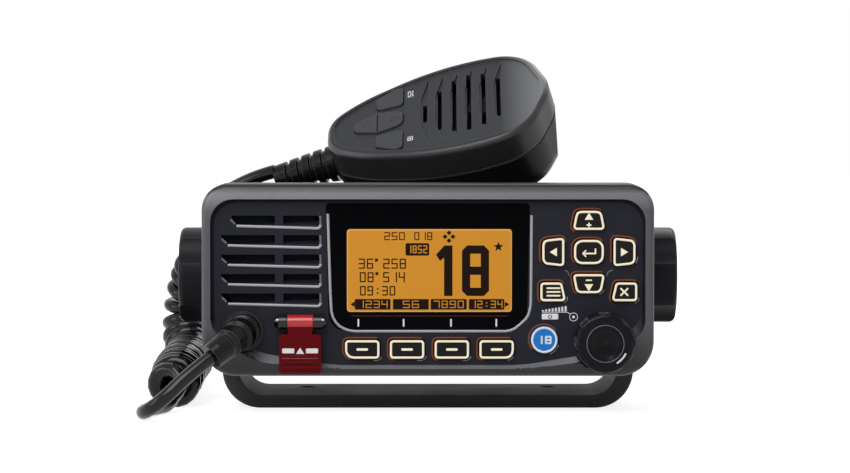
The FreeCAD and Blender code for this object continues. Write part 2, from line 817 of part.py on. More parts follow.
def keypad_mat():
    """A silicone mat behind the keys, cut away round the encoder."""
    mat = panel_body("keypad_mat")
    half, tall = "panel_width / 2 - panel_wall - 4", "panel_height / 2 - panel_wall - 3"
    left, right = "lcd_across - lcd_width / 2 - lcd_rim", "lcd_across + lcd_width / 2 + lcd_rim + 0.6"
    slab(mat, FRONT, [[(left, f"-({tall})", "1"), (half, f"-({tall})", "1"), (half, tall, "1"),
                       (right, tall, "1"), (right, "-window_bottom", "1"), (left, "-window_bottom", "1")]],
         "mat_front", "control_board_front")
    cut(mat, FRONT, [encoder_room()] + corner_circles("boss_radius + 0.3")[-1:],
        "mat_front", "control_board_front")


def control_board():
    """The board behind the display and the keys."""
    board = panel_body("control_board")
    half, tall = "panel_width / 2 - panel_wall - 1.5", "panel_height / 2 - panel_wall - 1"
    left, corner = "-speaker_across + speaker_radius + 1", "2.6 * boss_radius"
    slab(board, FRONT, [[(left, f"-({tall})"), (f"{half} - {corner}", f"-({tall})"),
                         (f"{half} - {corner}", f"-({tall}) + {corner}"), (half, f"-({tall}) + {corner}"),
                         (half, f"{tall} - {corner}"), (f"{half} - {corner}", f"{tall} - {corner}"),
                         (f"{half} - {corner}", tall), (left, tall)]],
         "control_board_front", "control_board_front + board_thickness")
    cut(board, FRONT, [encoder_room()], "control_board_front", "control_board_front + board_thickness")


def encoder_body():
    """The rotary encoder behind the face, with the bushing that its shaft turns and slides in."""
    encoder = panel_body("encoder_body", "knob_across", "-knob_down")
    slab(encoder, FRONT, [centred_box("encoder_wide", "encoder_wide", "1")], "inner_face", "encoder_back")
    slab(encoder, FRONT, [("0", "0", "bushing_radius")], "floor", "inner_face")
    cut(encoder, FRONT, [("0", "0", "shaft_radius + shaft_clearance")], "floor", "encoder_back")


def encoder_shaft():
    shaft = panel_body("encoder_shaft", "knob_across", "-knob_down")
    slab(shaft, FRONT, [("0", "0", "shaft_radius")], "shaft_front", "shaft_front + shaft_length")


def volume_knob():
    """A fluted knob with a dished front, bored for the shaft."""
    knob = panel_body("volume_knob", "knob_across", "-knob_down")
    back = "knob_front + knob_length"
    slab(knob, FRONT, [("0", "0", "knob_radius")], "knob_front", back)
    rounded(knob, edges_at(knob, "Y", "knob_front"), "1.5")
    middle = "knob_radius + knob_flute_radius - knob_flute_depth"
    flute = cut(knob, FRONT, [(middle, "0", "knob_flute_radius")], "knob_front", f"{back} - 2")
    ring_of(knob, flute, "Y_Axis", "knob_flutes", -1)
    bored(knob, SIDE, [("knob_front", "0"), ("knob_front + knob_dish_depth", "0"),
                       ("knob_front + knob_dish_depth * 0.6", "knob_dish_radius * 0.7"),
                       ("knob_front", "knob_dish_radius")])
    cut(knob, FRONT, [("0", "0", "shaft_radius + shaft_clearance")], "shaft_front", back)


# ---------------------------------------------------------------- distress key's cover

def distress_hinge_pin():
    """Two round-nosed knuckles on the panel's face with a thin pin between them."""
    pin = panel_body("distress_hinge_pin", "-distress_across", "-hinge_down")
    inner = "cover_barrel / 2 + hinge_gap"
    outer = f"{inner} + hinge_knuckle"
    place(pin, "-distress_across", "hinge_depth - panel_reach", "panel_rise - hinge_down")
    nose = "hinge_radius * 0.55"
    right = [(inner, "hinge_pin_radius"), (inner, "hinge_radius"), (f"{outer} - 1.5", "hinge_radius"),
             (outer, nose), (outer, "0")]
    left = [(f"-({along})", radius) for along, radius in reversed(right)]
    turned(pin, FRONT, left + right)


def distress_cover():
    """A clear cover that swings up about its barrel, with grip ridges along its lower edge."""
    cover = panel_body("distress_cover", "-distress_across", "-hinge_down")
    place(cover, "-distress_across", "hinge_depth - panel_reach", "panel_rise - hinge_down")
    front, back = "cover_front - hinge_depth", "cover_back - hinge_depth"
    slab(cover, SIDE, [("0", "0", "hinge_radius")], "-cover_barrel / 2", "cover_barrel / 2")
    slab(cover, FRONT, [box("-cover_neck / 2", "cover_neck / 2", "hinge_down - cover_top - 1", "0")],
         front, back)
    slab(cover, FRONT, [box("-cover_width / 2", "cover_width / 2", "hinge_down - cover_bottom",
                            "hinge_down - cover_top", "1.2")], front, back)
    for k in range(3):
        level = f"hinge_down - cover_bottom + 1.5 + {k} * 2"
        slab(cover, FRONT, [box("-cover_width / 2 + 1", "cover_width / 2 - 1", level, f"{level} + 0.8")],
             f"{front} - 0.5", front)
    cut(cover, SIDE, [("0", "0", "hinge_pin_radius + shaft_clearance")], "-cover_barrel / 2 - 1",
        "cover_barrel / 2 + 1")


# ---------------------------------------------------------------- chassis

def chassis_outline(inset):
    half, tall = f"chassis_half - {inset}", f"chassis_height / 2 - {inset}"
    return box(f"-({half})", half, f"-({tall})", tall, f"chassis_radius - {inset}")


def flange_outline(inset):
    return panel_outline(f"panel_wall + flange_clearance + {inset}")


def chassis():
    """A die-cast box, open to the panel, with a screwed flange, cooling fins and board posts."""
    box_body = new_body("chassis", "0", "0", "pivot_rise")
    shift = "(panel_rise - pivot_rise)"
    flange = [(corner[0], f"{corner[1]} + {shift}", corner[2]) for corner in flange_outline("0")]
    slab(box_body, FRONT, [chassis_outline("0")], "panel_back", "chassis_back")
    slab(box_body, FRONT, [flange], "panel_back - flange_thickness", "panel_back")
    rounded(box_body, edges_at(box_body, "Y", "chassis_back"), "2")
    cut(box_body, FRONT, [chassis_outline("chassis_wall")], "panel_back - flange_thickness",
        "chassis_back - chassis_wall")
    cut(box_body, FRONT, [(circle[0], f"{circle[1]} + {shift}", circle[2])
                          for circle in corner_circles("screw_radius + 0.2")],
        "panel_back - flange_thickness", "panel_back")
    fin = slab(box_body, FRONT, [box("-(fin_count - 1) / 2 * fin_pitch - fin_width / 2",
                                     "-(fin_count - 1) / 2 * fin_pitch + fin_width / 2",
                                     "fin_up - fin_tall / 2", "fin_up + fin_tall / 2")],
               "chassis_back - 0.5", "chassis_back + fin_deep")
    row_of(box_body, fin, "X_Axis", "(fin_count - 1) * fin_pitch", "fin_count")
    posts = [(f"{side} * (main_board_half - 6)", along, "post_radius")
             for side in (-1, 1) for along in ("main_board_front + 10", "main_board_back - 10")]
    slab(box_body, TOP, posts, "chassis_wall - chassis_height / 2", "-board_down - board_thickness")
    cut(box_body, FRONT, [("antenna_across", "-antenna_down", "antenna_thread_radius + 0.1"),
                          ("power_across", "-power_down", "power_radius - 1.5")],
        "chassis_back - chassis_wall - 1", "chassis_back + 1")
    cut(box_body, SIDE, [("0", "0", "insert_radius")], "-chassis_half - 1", "chassis_half + 1")


def side_inserts():
    """Brass bushes in the chassis's sides that the bracket's bolts screw into."""
    inserts = new_body("side_inserts", "0", "0", "pivot_rise")
    for side in (-1, 1):
        ring = [("0", "0", "insert_radius"), ("0", "0", "bolt_radius + bolt_clearance")]
        ends = (f"{side} * chassis_half", f"{side} * (chassis_half - insert_length)")
        slab(inserts, SIDE, ring, *sorted(ends, key=value))


def panel_gasket():
    """A seal between the panel's bosses and the chassis's flange."""
    gasket = panel_body("panel_gasket")
    slab(gasket, FRONT, [flange_outline("0"), flange_outline("gasket_width")],
         "flange_front - gasket_thickness", "flange_front")


def chassis_screws():
    """Four screws through the flange into the panel's bosses."""
    screws = panel_body("chassis_screws")
    slab(screws, FRONT, corner_circles("screw_radius"), "flange_front - screw_length", "panel_depth")
    slab(screws, FRONT, corner_circles("screw_head_radius"), "panel_depth", "panel_depth + screw_head")


def inside_block(name, left, right, front, back, bottom, top, radius=None):
    """A block on the main board, between levels above the board's top."""
    block = new_body(name, "0", "0", "board_top")
    slab(block, TOP, [box(left, right, front, back, radius)], bottom, top)
    return block


def inner_works():
    """The main board and the large components on it."""
    inside_block("main_board", "-main_board_half", "main_board_half", "main_board_front", "main_board_back",
                 "-board_thickness", "0", "2")
    inside_block("power_amplifier", "amplifier_across - amplifier_long / 2",
                 "amplifier_across + amplifier_long / 2", "main_board_back - amplifier_wide",
                 "main_board_back", "0", "amplifier_high")
    left, right = "shield_left", "shield_left + shield_long"
    shield = inside_block("shield_can", left, right, "0", "shield_wide", "0", "shield_high", "1")
    cut(shield, TOP, [box(f"{left} + shield_skin", f"{right} - shield_skin", "shield_skin",
                          "shield_wide - shield_skin")], "0", "shield_high - shield_skin")
    inside_block("position_receiver", "receiver_left", "receiver_left + receiver_side",
                 "main_board_front + 3", "main_board_front + 3 + receiver_side", "0", "receiver_high", "1")


def ribbon_cable():
    """A flat cable from the control board, under the chassis's rim, to the main board."""
    ribbon = new_body("ribbon_cable", "0", "0", "board_top")
    front = "control_board_front + board_thickness - panel_reach"
    inner, end = f"{front} + ribbon_thickness", "main_board_front + 6"
    profile = [(front, "ribbon_rise"), (inner, "ribbon_rise"), (inner, "ribbon_thickness"),
               (end, "ribbon_thickness"), (end, "0"), (front, "0")]
    slab(ribbon, SIDE, [profile], "ribbon_left", "ribbon_left + ribbon_wide")


# ---------------------------------------------------------------- rear connectors

def antenna_socket():
    """A threaded coaxial socket with its flange and centre contact."""
    socket = new_body("antenna_socket", "antenna_across", "0", "pivot_rise - antenna_down")
    inner, tip = "chassis_back - chassis_wall - 4", "chassis_back + antenna_flange + antenna_thread"
    turned(socket, SIDE, [(inner, "0"), (inner, "antenna_thread_radius - 1"),
                          ("chassis_back", "antenna_thread_radius - 1"),
                          ("chassis_back", "antenna_flange_radius"),
                          ("chassis_back + antenna_flange", "antenna_flange_radius"),
                          ("chassis_back + antenna_flange", "antenna_thread_radius"),
                          (tip, "antenna_thread_radius"), (tip, "antenna_bore_radius"),
                          (f"{tip} - antenna_bore", "antenna_bore_radius"),
                          (f"{tip} - antenna_bore", "contact_radius"), (f"{tip} - 1", "contact_radius"),
                          (f"{tip} - 1", "contact_bore_radius"),
                          (f"{tip} - 1 - contact_bore", "contact_bore_radius"),
                          (f"{tip} - 1 - contact_bore", "0")])


def power_lead_gland():
    """A rubber gland with a blind hole that the power lead is moulded into."""
    gland = new_body("power_lead_gland", "power_across", "0", "pivot_rise - power_down")
    inner, neck = "chassis_back - chassis_wall - 2", "power_radius - 1.6"
    floor, tip = "chassis_back + power_floor", "chassis_back + power_length"
    turned(gland, SIDE, [(inner, "0"), (inner, neck),
                         ("chassis_back + 0.1", neck), ("chassis_back + 0.1", "power_radius"),
                         (f"{tip} - 2", "power_radius"), (tip, "power_radius - 2"),
                         (tip, "power_bore_radius"), (floor, "power_bore_radius"), (floor, "0")])


# ---------------------------------------------------------------- mounting bracket

def mounting_bracket():
    """A U of one thickness: a foot plate and two round-topped arms outside the chassis."""
    bracket = new_body("mounting_bracket")
    top, bend = "pivot_rise + arm_top_radius", "bracket_corner - bracket_thickness"
    right = [("bracket_half", "0", "bracket_corner"), ("bracket_half", top), ("arm_inner", top),
             ("arm_inner", "bracket_thickness", bend)]
    slab(bracket, FRONT, [right + mirrored(right)], "-plate_half", "plate_half")
    shoulder, edge = "bracket_corner + 1", "plate_half + 1"
    beside = [("arm_half", shoulder), ("arm_top_radius", "pivot_rise"), ("arm_top_radius", f"{top} + 1"),
              (edge, f"{top} + 1"), (edge, shoulder)]
    cut(bracket, SIDE, [beside, mirrored(beside)], "-bracket_half - 1", "bracket_half + 1")
    tops = [f"Edge{k}" for k, edge in enumerate(bracket.Tip.Shape.Edges, start=1)
            if abs(edge.BoundBox.ZMin - value(top)) < 0.01 and edge.BoundBox.YLength < 0.01]
    rounded(bracket, tops, "arm_top_radius - 0.3")
    cut(bracket, SIDE, [("0", "pivot_rise", "bolt_radius + bolt_clearance")], "-bracket_half - 1",
        "bracket_half + 1")
    cut(bracket, TOP, [(f"{side} * foot_hole_across", "foot_hole_back", "foot_hole_radius")
                       for side in (-1, 1)], "-1", "bracket_thickness + 1")


def friction_washers():
    """Rubber washers between the chassis's sides and the bracket's arms."""
    washers = new_body("friction_washers", "0", "0", "pivot_rise")
    ring = [("0", "0", "washer_radius"), ("0", "0", "bolt_radius + bolt_clearance")]
    for side in (-1, 1):
        faces = (f"{side} * chassis_half", f"{side} * (arm_inner - washer_gap)")
        slab(washers, SIDE, ring, *sorted(faces, key=value))


def bracket_knob(name, bolt_name, side):
    """A scalloped grip outside an arm, and the bolt moulded into it."""
    def between(near, far):
        """Two distances from the radio's middle as levels along X, the lower first."""
        return sorted((f"{side} * ({near})", f"{side} * ({far})"), key=value)

    inner = "bracket_half + grip_gap"
    outer = f"{inner} + grip_length"
    grip = new_body(name, "0", "0", "pivot_rise")
    slab(grip, SIDE, [("0", "0", "grip_radius")], *between(inner, outer))
    rounded(grip, edges_at(grip, "X", f"{side} * ({outer})"), "grip_edge")
    reach = "(grip_radius + grip_scallop_radius - grip_scallop_depth)"
    middle = f"-{reach} * cos(grip_scallop_turn)", f"{reach} * sin(grip_scallop_turn)"
    scallop = cut(grip, SIDE, [middle + ("grip_scallop_radius",)], *between(inner, outer))
    ring_of(grip, scallop, "X_Axis", "grip_scallops", -1)
    cut(grip, SIDE, [("0", "0", "grip_hub_radius")], *between(f"{outer} - 1", f"{outer} + 1"))
    end = f"{outer} - 3"
    cut(grip, SIDE, [("0", "0", "bolt_radius")], *between(inner, end))
    bolt = new_body(bolt_name, "0", "0", "pivot_rise")
    slab(bolt, SIDE, [("0", "0", "bolt_radius")], *between(f"{end} - bolt_length", end))


# ---------------------------------------------------------------- microphone

def mic_outline(inset):
    """The case's outline, an egg with its narrow end at the cord, moved in by `inset`.

    Each corner moves in along its own mitre.
    """
    inset = f"({inset})"
    far = [(f"{inset} - mic_half_length", f"mic_tail_half - {inset} * 0.5", f"mic_tail_radius - {inset}"),
           (f"mic_flank_along + {inset} * 0.48", f"mic_flank_half - {inset} * 0.89",
            f"mic_flank_radius - {inset}"),
           (f"mic_side_along + {inset} * 0.12", f"mic_side_half - {inset} * 1.02",
            f"mic_side_radius - {inset}"),
           (f"mic_head_along - {inset} * 0.73", f"mic_head_half - {inset} * 0.92",
            f"mic_head_radius - {inset}"),
           (f"mic_half_length - {inset}", f"mic_crown_half - {inset} * 0.18",
            f"mic_crown_radius - {inset}")]
    near = [(corner[0], f"-({corner[1]})", corner[2]) for corner in reversed(far)]
    return near + far


def mic_rocker_ends(gap):
    """The outer ends of the rocker: towards the head and towards the tail."""
    head = f"mic_key_along + mic_key_long / 2 + {gap}"
    tail = f"mic_key_along - mic_key_long / 2 - mic_rocker_tail - {gap}"
    wide = f"(mic_rocker_wide / 2 * mic_rocker_head + {gap})"
    narrow = f"(mic_rocker_wide / 2 * mic_rocker_tip + {gap})"
    return ([(head, f"-{wide}", "3.5"), (head, wide, "3.5")],
            [(tail, narrow, "2.5"), (tail, f"-{narrow}", "2.5")])


def mic_key_outlines(gap):
    """The four keys on the microphone's face: two with a cut corner and a split rocker between them."""
    half_long, half_wide = f"(mic_key_long / 2 + {gap})", f"(mic_key_wide / 2 + {gap})"
    tail, head = f"mic_key_along - {half_long}", f"mic_key_along + {half_long}"
    near, far = f"(mic_key_across - {half_wide})", f"(mic_key_across + {half_wide})"
    outlines = {}
    for name, side in (("mic_key_16", -1), ("mic_key_high_low", 1)):
        outlines[name] = [(head, f"{side} * {near}"), (head, f"{side} * {far}"),
                          (f"{tail} + mic_key_cut_along", f"{side} * {far}"),
                          (tail, f"{side} * ({far} - mic_key_cut_across)"), (tail, f"{side} * {near}")]
        outlines[name] = [corner + ("mic_key_radius",) for corner in outlines[name]]
    to_head, to_tail = mic_rocker_ends(gap)
    split, half = "mic_key_along - mic_rocker_split", f"(mic_rocker_wide / 2 + {gap})"
    low, high = f"{split} - mic_rocker_gap", f"{split} + mic_rocker_gap"
    outlines["mic_key_up"] = [(high, f"-{half}")] + to_head + [(high, half)]
    outlines["mic_key_down"] = [(low, half)] + to_tail + [(low, f"-{half}")]
    return outlines


def cut_mic_neck(body):
    """The round hole in the narrow end that the cord's boot is held in."""
    cut(body, SIDE, [("0", "mic_boot_rise", "mic_neck_radius + 0.05")], "-mic_half_length - 1",
        "-mic_half_length + mic_wall + 3")


def cut_ptt_hole(body, low, high):
    """The opening in the case's side for the push-to-talk bar, between two levels."""
    half = "(ptt_long / 2 + key_gap)"
    cut(body, FRONT, [box(f"ptt_along - {half}", f"ptt_along + {half}", low, high)],
        "mic_widest - 7.5", "mic_widest + 1")


def mic_front_shell():
    """The front half of the case: a sunk face with key holes, and sound slots in leaf-shaped grooves."""
    shell = mic_body("mic_front_shell")
    slab(shell, TOP, [mic_outline("0")], "mic_gasket / 2", "mic_front_height")
    rounded(shell, edges_at(shell, "Z", "mic_front_height"), "mic_front_edge")
    cut(shell, TOP, [mic_outline("mic_wall")], "mic_gasket / 2", "mic_under_face")
    cut(shell, TOP, [mic_outline("mic_face_inset")], "mic_face", "mic_front_height")
    grooves, slots = [], []
    for k in range(int(value("mic_slots"))):
        middle = f"mic_slot_first + {k} * mic_slot_pitch"
        length = f"(mic_slot_long - mic_slot_bow * {(k - 3) ** 2})"
        slots.append(box(f"{middle} - mic_slot_wide / 2", f"{middle} + mic_slot_wide / 2",
                         f"mic_slot_across - {length} / 2", f"mic_slot_across + {length} / 2",
                         "mic_slot_wide * 0.45"))
        straight, bowed = f"{middle} + mic_groove_wide / 2", f"{middle} - mic_groove_wide / 2"
        grooves.append([(straight, f"mic_slot_across {sign} mic_groove_long / 2") for sign in "-+"]
                       + [(bowed, f"mic_slot_across {sign} mic_groove_long / 5", "mic_groove_long / 3")
                          for sign in "+-"])
    cut(shell, TOP, grooves, "mic_face - mic_groove_depth", "mic_face")
    cut(shell, TOP, slots, "mic_under_face", "mic_face")
    keys = mic_key_outlines("key_gap")
    to_head, to_tail = mic_rocker_ends("key_gap")
    split, half = "mic_key_along - mic_rocker_split", "(mic_rocker_wide / 2 + key_gap)"
    rocker = to_head + [(split, half)] + to_tail + [(split, f"-{half}")]
    cut(shell, TOP, [keys["mic_key_16"], keys["mic_key_high_low"], rocker], "mic_under_face", "mic_face")
    cut_ptt_hole(shell, "mic_gasket / 2", "ptt_high / 2 + key_gap")
    slab(shell, TOP, mic_screw_circles("mic_post_radius"), "mic_gasket / 2", "mic_under_face")
    cut(shell, TOP, mic_screw_circles("screw_radius"), "mic_gasket / 2", "mic_screw_top")
    cut_mic_neck(shell)


def mic_back_at(along):
    """Level of the rear face, which slants from the cord end to the head."""
    return (f"(-mic_tail_depth - (mic_back_height - mic_tail_depth) * ({along} + mic_half_length)"
            " / (2 * mic_half_length))")


def mic_rear_shell():
    """The rounded back half of the case, shallow at the cord and deep at the head."""
    shell = mic_body("mic_rear_shell")
    slab(shell, TOP, [mic_outline("0")], "-mic_back_height", "-mic_gasket / 2")
    tail, head, under = "-mic_half_length - 1", "mic_half_length + 1", "-mic_back_height - 2"
    cut(shell, FRONT, [[(tail, mic_back_at(tail)), (head, mic_back_at(head)), (head, under), (tail, under)]],
        "-mic_widest - 1", "mic_widest + 1")
    rounded(shell, edges_of_face(shell, (-0.14, 0, -1)), "mic_back_radius")
    cut(shell, FRONT, [[("mic_half_length", "-mic_gasket / 2"), ("mic_half_length - mic_back_taper", under),
                        (head, under), (head, "-mic_gasket / 2")]], "-mic_widest - 1", "mic_widest + 1")
    cut(shell, TOP, [mic_outline("mic_wall")], "-mic_tail_depth / 3", "-mic_gasket / 2")
    cut(shell, TOP, [mic_outline("mic_wall + 3.5")], "mic_wall - mic_tail_depth", "-mic_tail_depth / 3")
    deep = box("-5", "mic_half_length - 12", "-mic_board_wide / 2 - 2", "mic_board_wide / 2 + 2", "5")
    cut(shell, TOP, [deep], "-mic_back_height / 2 - 1", "mic_wall - mic_tail_depth")
    cut_ptt_hole(shell, "-ptt_high / 2 - key_gap", "-mic_gasket / 2")
    slab(shell, TOP, mic_screw_circles("mic_post_radius"), "-mic_tail_depth * 0.8", "-mic_gasket / 2")
    cut(shell, TOP, mic_screw_circles("screw_radius"), "-mic_back_height", "-mic_gasket / 2")
    cut_mic_neck(shell)


def mic_screw_circles(radius):
    return [(f"mic_screw_middle + {a} * mic_screw_along",
             f"{b} * (mic_screw_across + {a} * mic_screw_spread)", radius)
            for a in (-1, 1) for b in (-1, 1)]


def mic_seam_gasket():
    """The seal in the parting line."""
    gasket = mic_body("mic_seam_gasket")
    slab(gasket, TOP, [mic_outline("0.3"), mic_outline("mic_wall - 0.2")],
         "-mic_gasket / 2", "mic_gasket / 2")
    cut_ptt_hole(gasket, "-mic_gasket", "mic_gasket")
    cut_mic_neck(gasket)


def mic_key(name, outline):
    key = mic_body(name)
    slab(key, TOP, [outline], "mic_under_face - 1", "mic_face + mic_key_proud")
    rounded(key, edges_at(key, "Z", "mic_face + mic_key_proud"), "0.4")


def mic_ptt_button():
    """The push-to-talk bar in the case's side."""
    bar = mic_body("mic_ptt_button")
    slab(bar, FRONT, [centred_box("ptt_long", "ptt_high", "2.5", "ptt_along")], "mic_widest - 5",
         "mic_widest + ptt_proud")
    rounded(bar, edges_at(bar, "Y", "mic_widest + ptt_proud"), "1.8")


def mic_inner_works():
    """The sound element on its board, which stands on the front shell's inside."""
    board = mic_body("mic_board")
    level = "mic_under_face - element_high"
    slab(board, TOP, [centred_box("mic_board_long", "mic_board_wide", "2", "mic_board_along")],
         f"{level} - board_thickness", level)
    element = mic_body("mic_element")
    slab(element, TOP, [("element_along", "0", "element_radius")], level, "mic_under_face")


def mic_shell_screws():
    """Four screws from the back that hold the shells together."""
    screws = mic_body("mic_shell_screws")
    slab(screws, TOP, mic_screw_circles("screw_radius"), "-mic_tail_depth * 0.8", "mic_screw_top")


def mic_hanger_button():
    """The stud on the back that hangs the microphone in its clip."""
    stud = mic_body("mic_hanger_button")
    near, far = "hanger_along - hanger_radius", "hanger_along + hanger_radius"
    neck = f"{mic_back_at(far)} - hanger_high"
    slab(stud, TOP, [("hanger_along", "0", "hanger_stem_radius")], neck, mic_back_at(near))
    slab(stud, TOP, [("hanger_along", "0", "hanger_radius")], f"{neck} - hanger_head", neck)
    cut(stud, FRONT, [[(near, mic_back_at(near) + " - 0.02"), (far, mic_back_at(far) + " - 0.02"),
                       (far, "0"), (near, "0")]], "-hanger_radius", "hanger_radius")


# ---------------------------------------------------------------- boots and cord

def along_bend(start, heading, end_heading, length, fraction):
    """A point and a direction on a bend that turns evenly from one heading to another."""
    first, last = Vector(*heading).normalize(), Vector(*end_heading).normalize()
    point, steps = Vector(*start), 40
    for k in range(steps):
        blend = fraction * (k + 0.5) / steps
        point += (first * (1 - blend) + last * blend).normalize() * (length * fraction / steps)
    return point, (first * (1 - fraction) + last * fraction).normalize()


def boot_solid(sections):
    """A solid through round sections (point, direction, radius), straight from each to the next."""
    wires = []
    for point, direction, radius in sections:
        wires.append(Part.Wire(Part.makeCircle(radius, point, direction)))
    return Part.makeLoft(wires, True, True)


def ringed_boot(name, start, heading, end_heading, length, base_radius, rings):
    """A bending boot of rings with grooves between them, tapering to the cord."""
    sections, tip_radius, groove = [], value("boot_tip_radius"), value("boot_groove")
    for k in range(rings):
        for part_of_ring, depth in ((0.0, 0), (0.55, 0), (0.66, 1), (0.9, 1)):
            fraction = (k + part_of_ring) / rings
            if k == rings - 1 and depth:
                continue
            radius = base_radius + (tip_radius - base_radius) * fraction - groove * depth
            point, direction = along_bend(start, heading, end_heading, length, fraction)
            sections.append((point, direction, radius))
    point, direction = along_bend(start, heading, end_heading, length, 1.0)
    sections.append((point, direction, tip_radius))
    boot = doc.addObject("Part::Feature", name)
    boot.Shape = boot_solid(sections)
    return register(boot, name), point, direction


def cord_tube(name, points, radius):
    """A tube along straight runs joined by tangent arcs, and its volume against its length."""
    route = [Vector(*point) for point in points]
    runs = [(b - a).Length for a, b in zip(route, route[1:])]
    edges, previous = [], route[0]
    for k in range(1, len(route) - 1):
        into = (route[k] - route[k - 1]).normalize()
        out = (route[k + 1] - route[k]).normalize()
        turn = into.getAngle(out)
        reach = 0.45 * min(runs[k - 1], runs[k])
        start, end = route[k] - into * reach, route[k] + out * reach
        bend = reach / math.tan(turn / 2)
        middle = route[k] + (out - into).normalize() * (bend / math.cos(turn / 2) - bend)
        edges += [Part.LineSegment(previous, start).toShape(), Part.Arc(start, middle, end).toShape()]
        previous = end
        print(f"{name}: bend {k} radius {bend:.1f}")
    edges.append(Part.LineSegment(previous, route[-1]).toShape())
    spine = Part.Wire(edges)
    section = Part.Wire(Part.makeCircle(radius, route[0], route[1] - route[0]))
    solid = spine.makePipeShell([section], True, True)
    expected = math.pi * radius ** 2 * spine.Length
    print(f"{name}: length {spine.Length:.1f}, volume {solid.Volume / expected:.4f} of expected")
    tube = doc.addObject("Part::Feature", name)
    tube.Shape = solid
    register(tube, name)


# The cord's way, from the panel's boot down to the floor, round, back along the radio's left side
# as a curly cord, up behind it and over its top to the microphone.
LEAD_FROM_PANEL = [(-92.0, -77.0, 7.0), (-100.0, -70.0, 2.7), (-101.0, -59.5, 2.5),
                   (-95.5, -50.0, 2.5), (-90.0, -42.0, 2.6), (-89.5, -33.5, 3.1), (-89.5, -25.5, 3.1)]
COIL_ON_FLOOR = [(-91.0, -25.5, 8.1), (-90.2, 2.0, 8.1), (-91.5, 32.0, 8.1), (-91.5, 62.0, 8.1)]
COIL_HANGING = [(-91.5, 62.0, 8.1), (-91.5, 78.0, 8.1), (-94.5, 93.0, 16.5), (-96.6, 97.0, 32.0),
                (-95.5, 90.0, 46.0), (-93.0, 75.5, 58.0), (-89.5, 60.5, 65.5), (-84.0, 47.0, 69.5)]
LEAD_TO_MIC = [(-84.0, 47.0, 69.5), (-80.4, 38.1, 72.15), (-74.5, 30.5, 75.2)]
LEAD_HEADING = (-0.72, -0.42, -0.55)     # where the boots' tips point
MIC_HEADING = (-0.93, 0.28, -0.25)


def add_to(shape, pieces):
    return shape.fuse(pieces).removeSplitter()


def cords():
    """The boots at both ends, and the lead, the curly stretch and the lead between them."""
    neck, flange = value("boot_flange + face_wall"), value("boot_flange")
    start = Vector(-value("lead_across"), value("floor - boot_flange - panel_reach"),
                   value("panel_rise - lead_down"))
    inward = Vector(0, 1, 0)
    boot, tip, heading = ringed_boot("mic_lead_boot", start, -inward, LEAD_HEADING,
                                     value("lead_boot_length"), value("lead_boot_radius"),
                                     int(value("lead_boot_rings")))
    boot.Shape = add_to(boot.Shape, [
        Part.makeCylinder(value("boot_neck_radius - 0.05"), neck, start, inward),
        Part.makeCylinder(value("boot_flange_radius"), flange, start, inward)])
    away = [tip, tip + heading * value("lead_straight")]
    cord_tube("cord_lead_panel", away + LEAD_FROM_PANEL, value("cord_radius"))
    cord_tube("cord_coil", COIL_ON_FLOOR, value("coil_radius"))
    cord_tube("cord_coil_hanging", COIL_HANGING, value("coil_radius"))

    frame = next(piece for piece in PIECES if piece.Label == "mic_rear_shell").Placement
    tail = frame.multVec(Vector(-value("mic_half_length"), 0, value("mic_boot_rise")))
    inward = frame.Rotation.multVec(Vector(1, 0, 0))
    boot, tip, heading = ringed_boot("mic_boot", tail, -inward, MIC_HEADING, value("mic_boot_length"),
                                     value("mic_boot_radius"), int(value("mic_boot_rings")))
    boot.Shape = add_to(boot.Shape, [
        Part.makeCylinder(value("mic_neck_radius"), value("mic_wall + 2"), tail, inward)])
    away = [tip + heading * value("mic_lead_straight"), tip + heading * 0.05]
    cord_tube("cord_lead_mic", LEAD_TO_MIC + away, value("cord_radius"))


for key_name, key_form in KEYS.items():
    front_key(key_name, *key_form)
front_panel()
display_window()
lcd_module()
speaker_mesh()
speaker()
keypad_mat()
control_board()
encoder_body()
encoder_shaft()
volume_knob()
distress_hinge_pin()
distress_cover()
chassis()
side_inserts()
panel_gasket()
chassis_screws()
inner_works()
ribbon_cable()
antenna_socket()
power_lead_gland()
mounting_bracket()
friction_washers()
bracket_knob("bracket_knob_left", "knob_bolt_left", -1)
bracket_knob("bracket_knob_right", "knob_bolt_right", 1)
mic_front_shell()
mic_rear_shell()
mic_seam_gasket()
for key_name, key_outline in mic_key_outlines("0").items():
    mic_key(key_name, key_outline)
mic_ptt_button()
mic_inner_works()
mic_shell_screws()
mic_hanger_button()
cords()

doc.recompute()
for thing in doc.Objects:
    if {"Invalid", "Error"} & set(thing.State):
        raise RuntimeError(f"{thing.Label} did not build")
os.makedirs("parts", exist_ok=True)
for piece in PIECES:
    if piece.Shape.isNull() or not piece.Shape.isValid():
        raise RuntimeError(f"{piece.Label} is not a sound solid")
    piece.Shape.exportStep(f"parts/{piece.Label}.step")
print(len(PIECES), "pieces")
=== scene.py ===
"""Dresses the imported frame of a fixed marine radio: finishes, display, key rings, grille, cord and stage."""

import json
import math

import bmesh
import bpy
from mathutils import Matrix, Vector

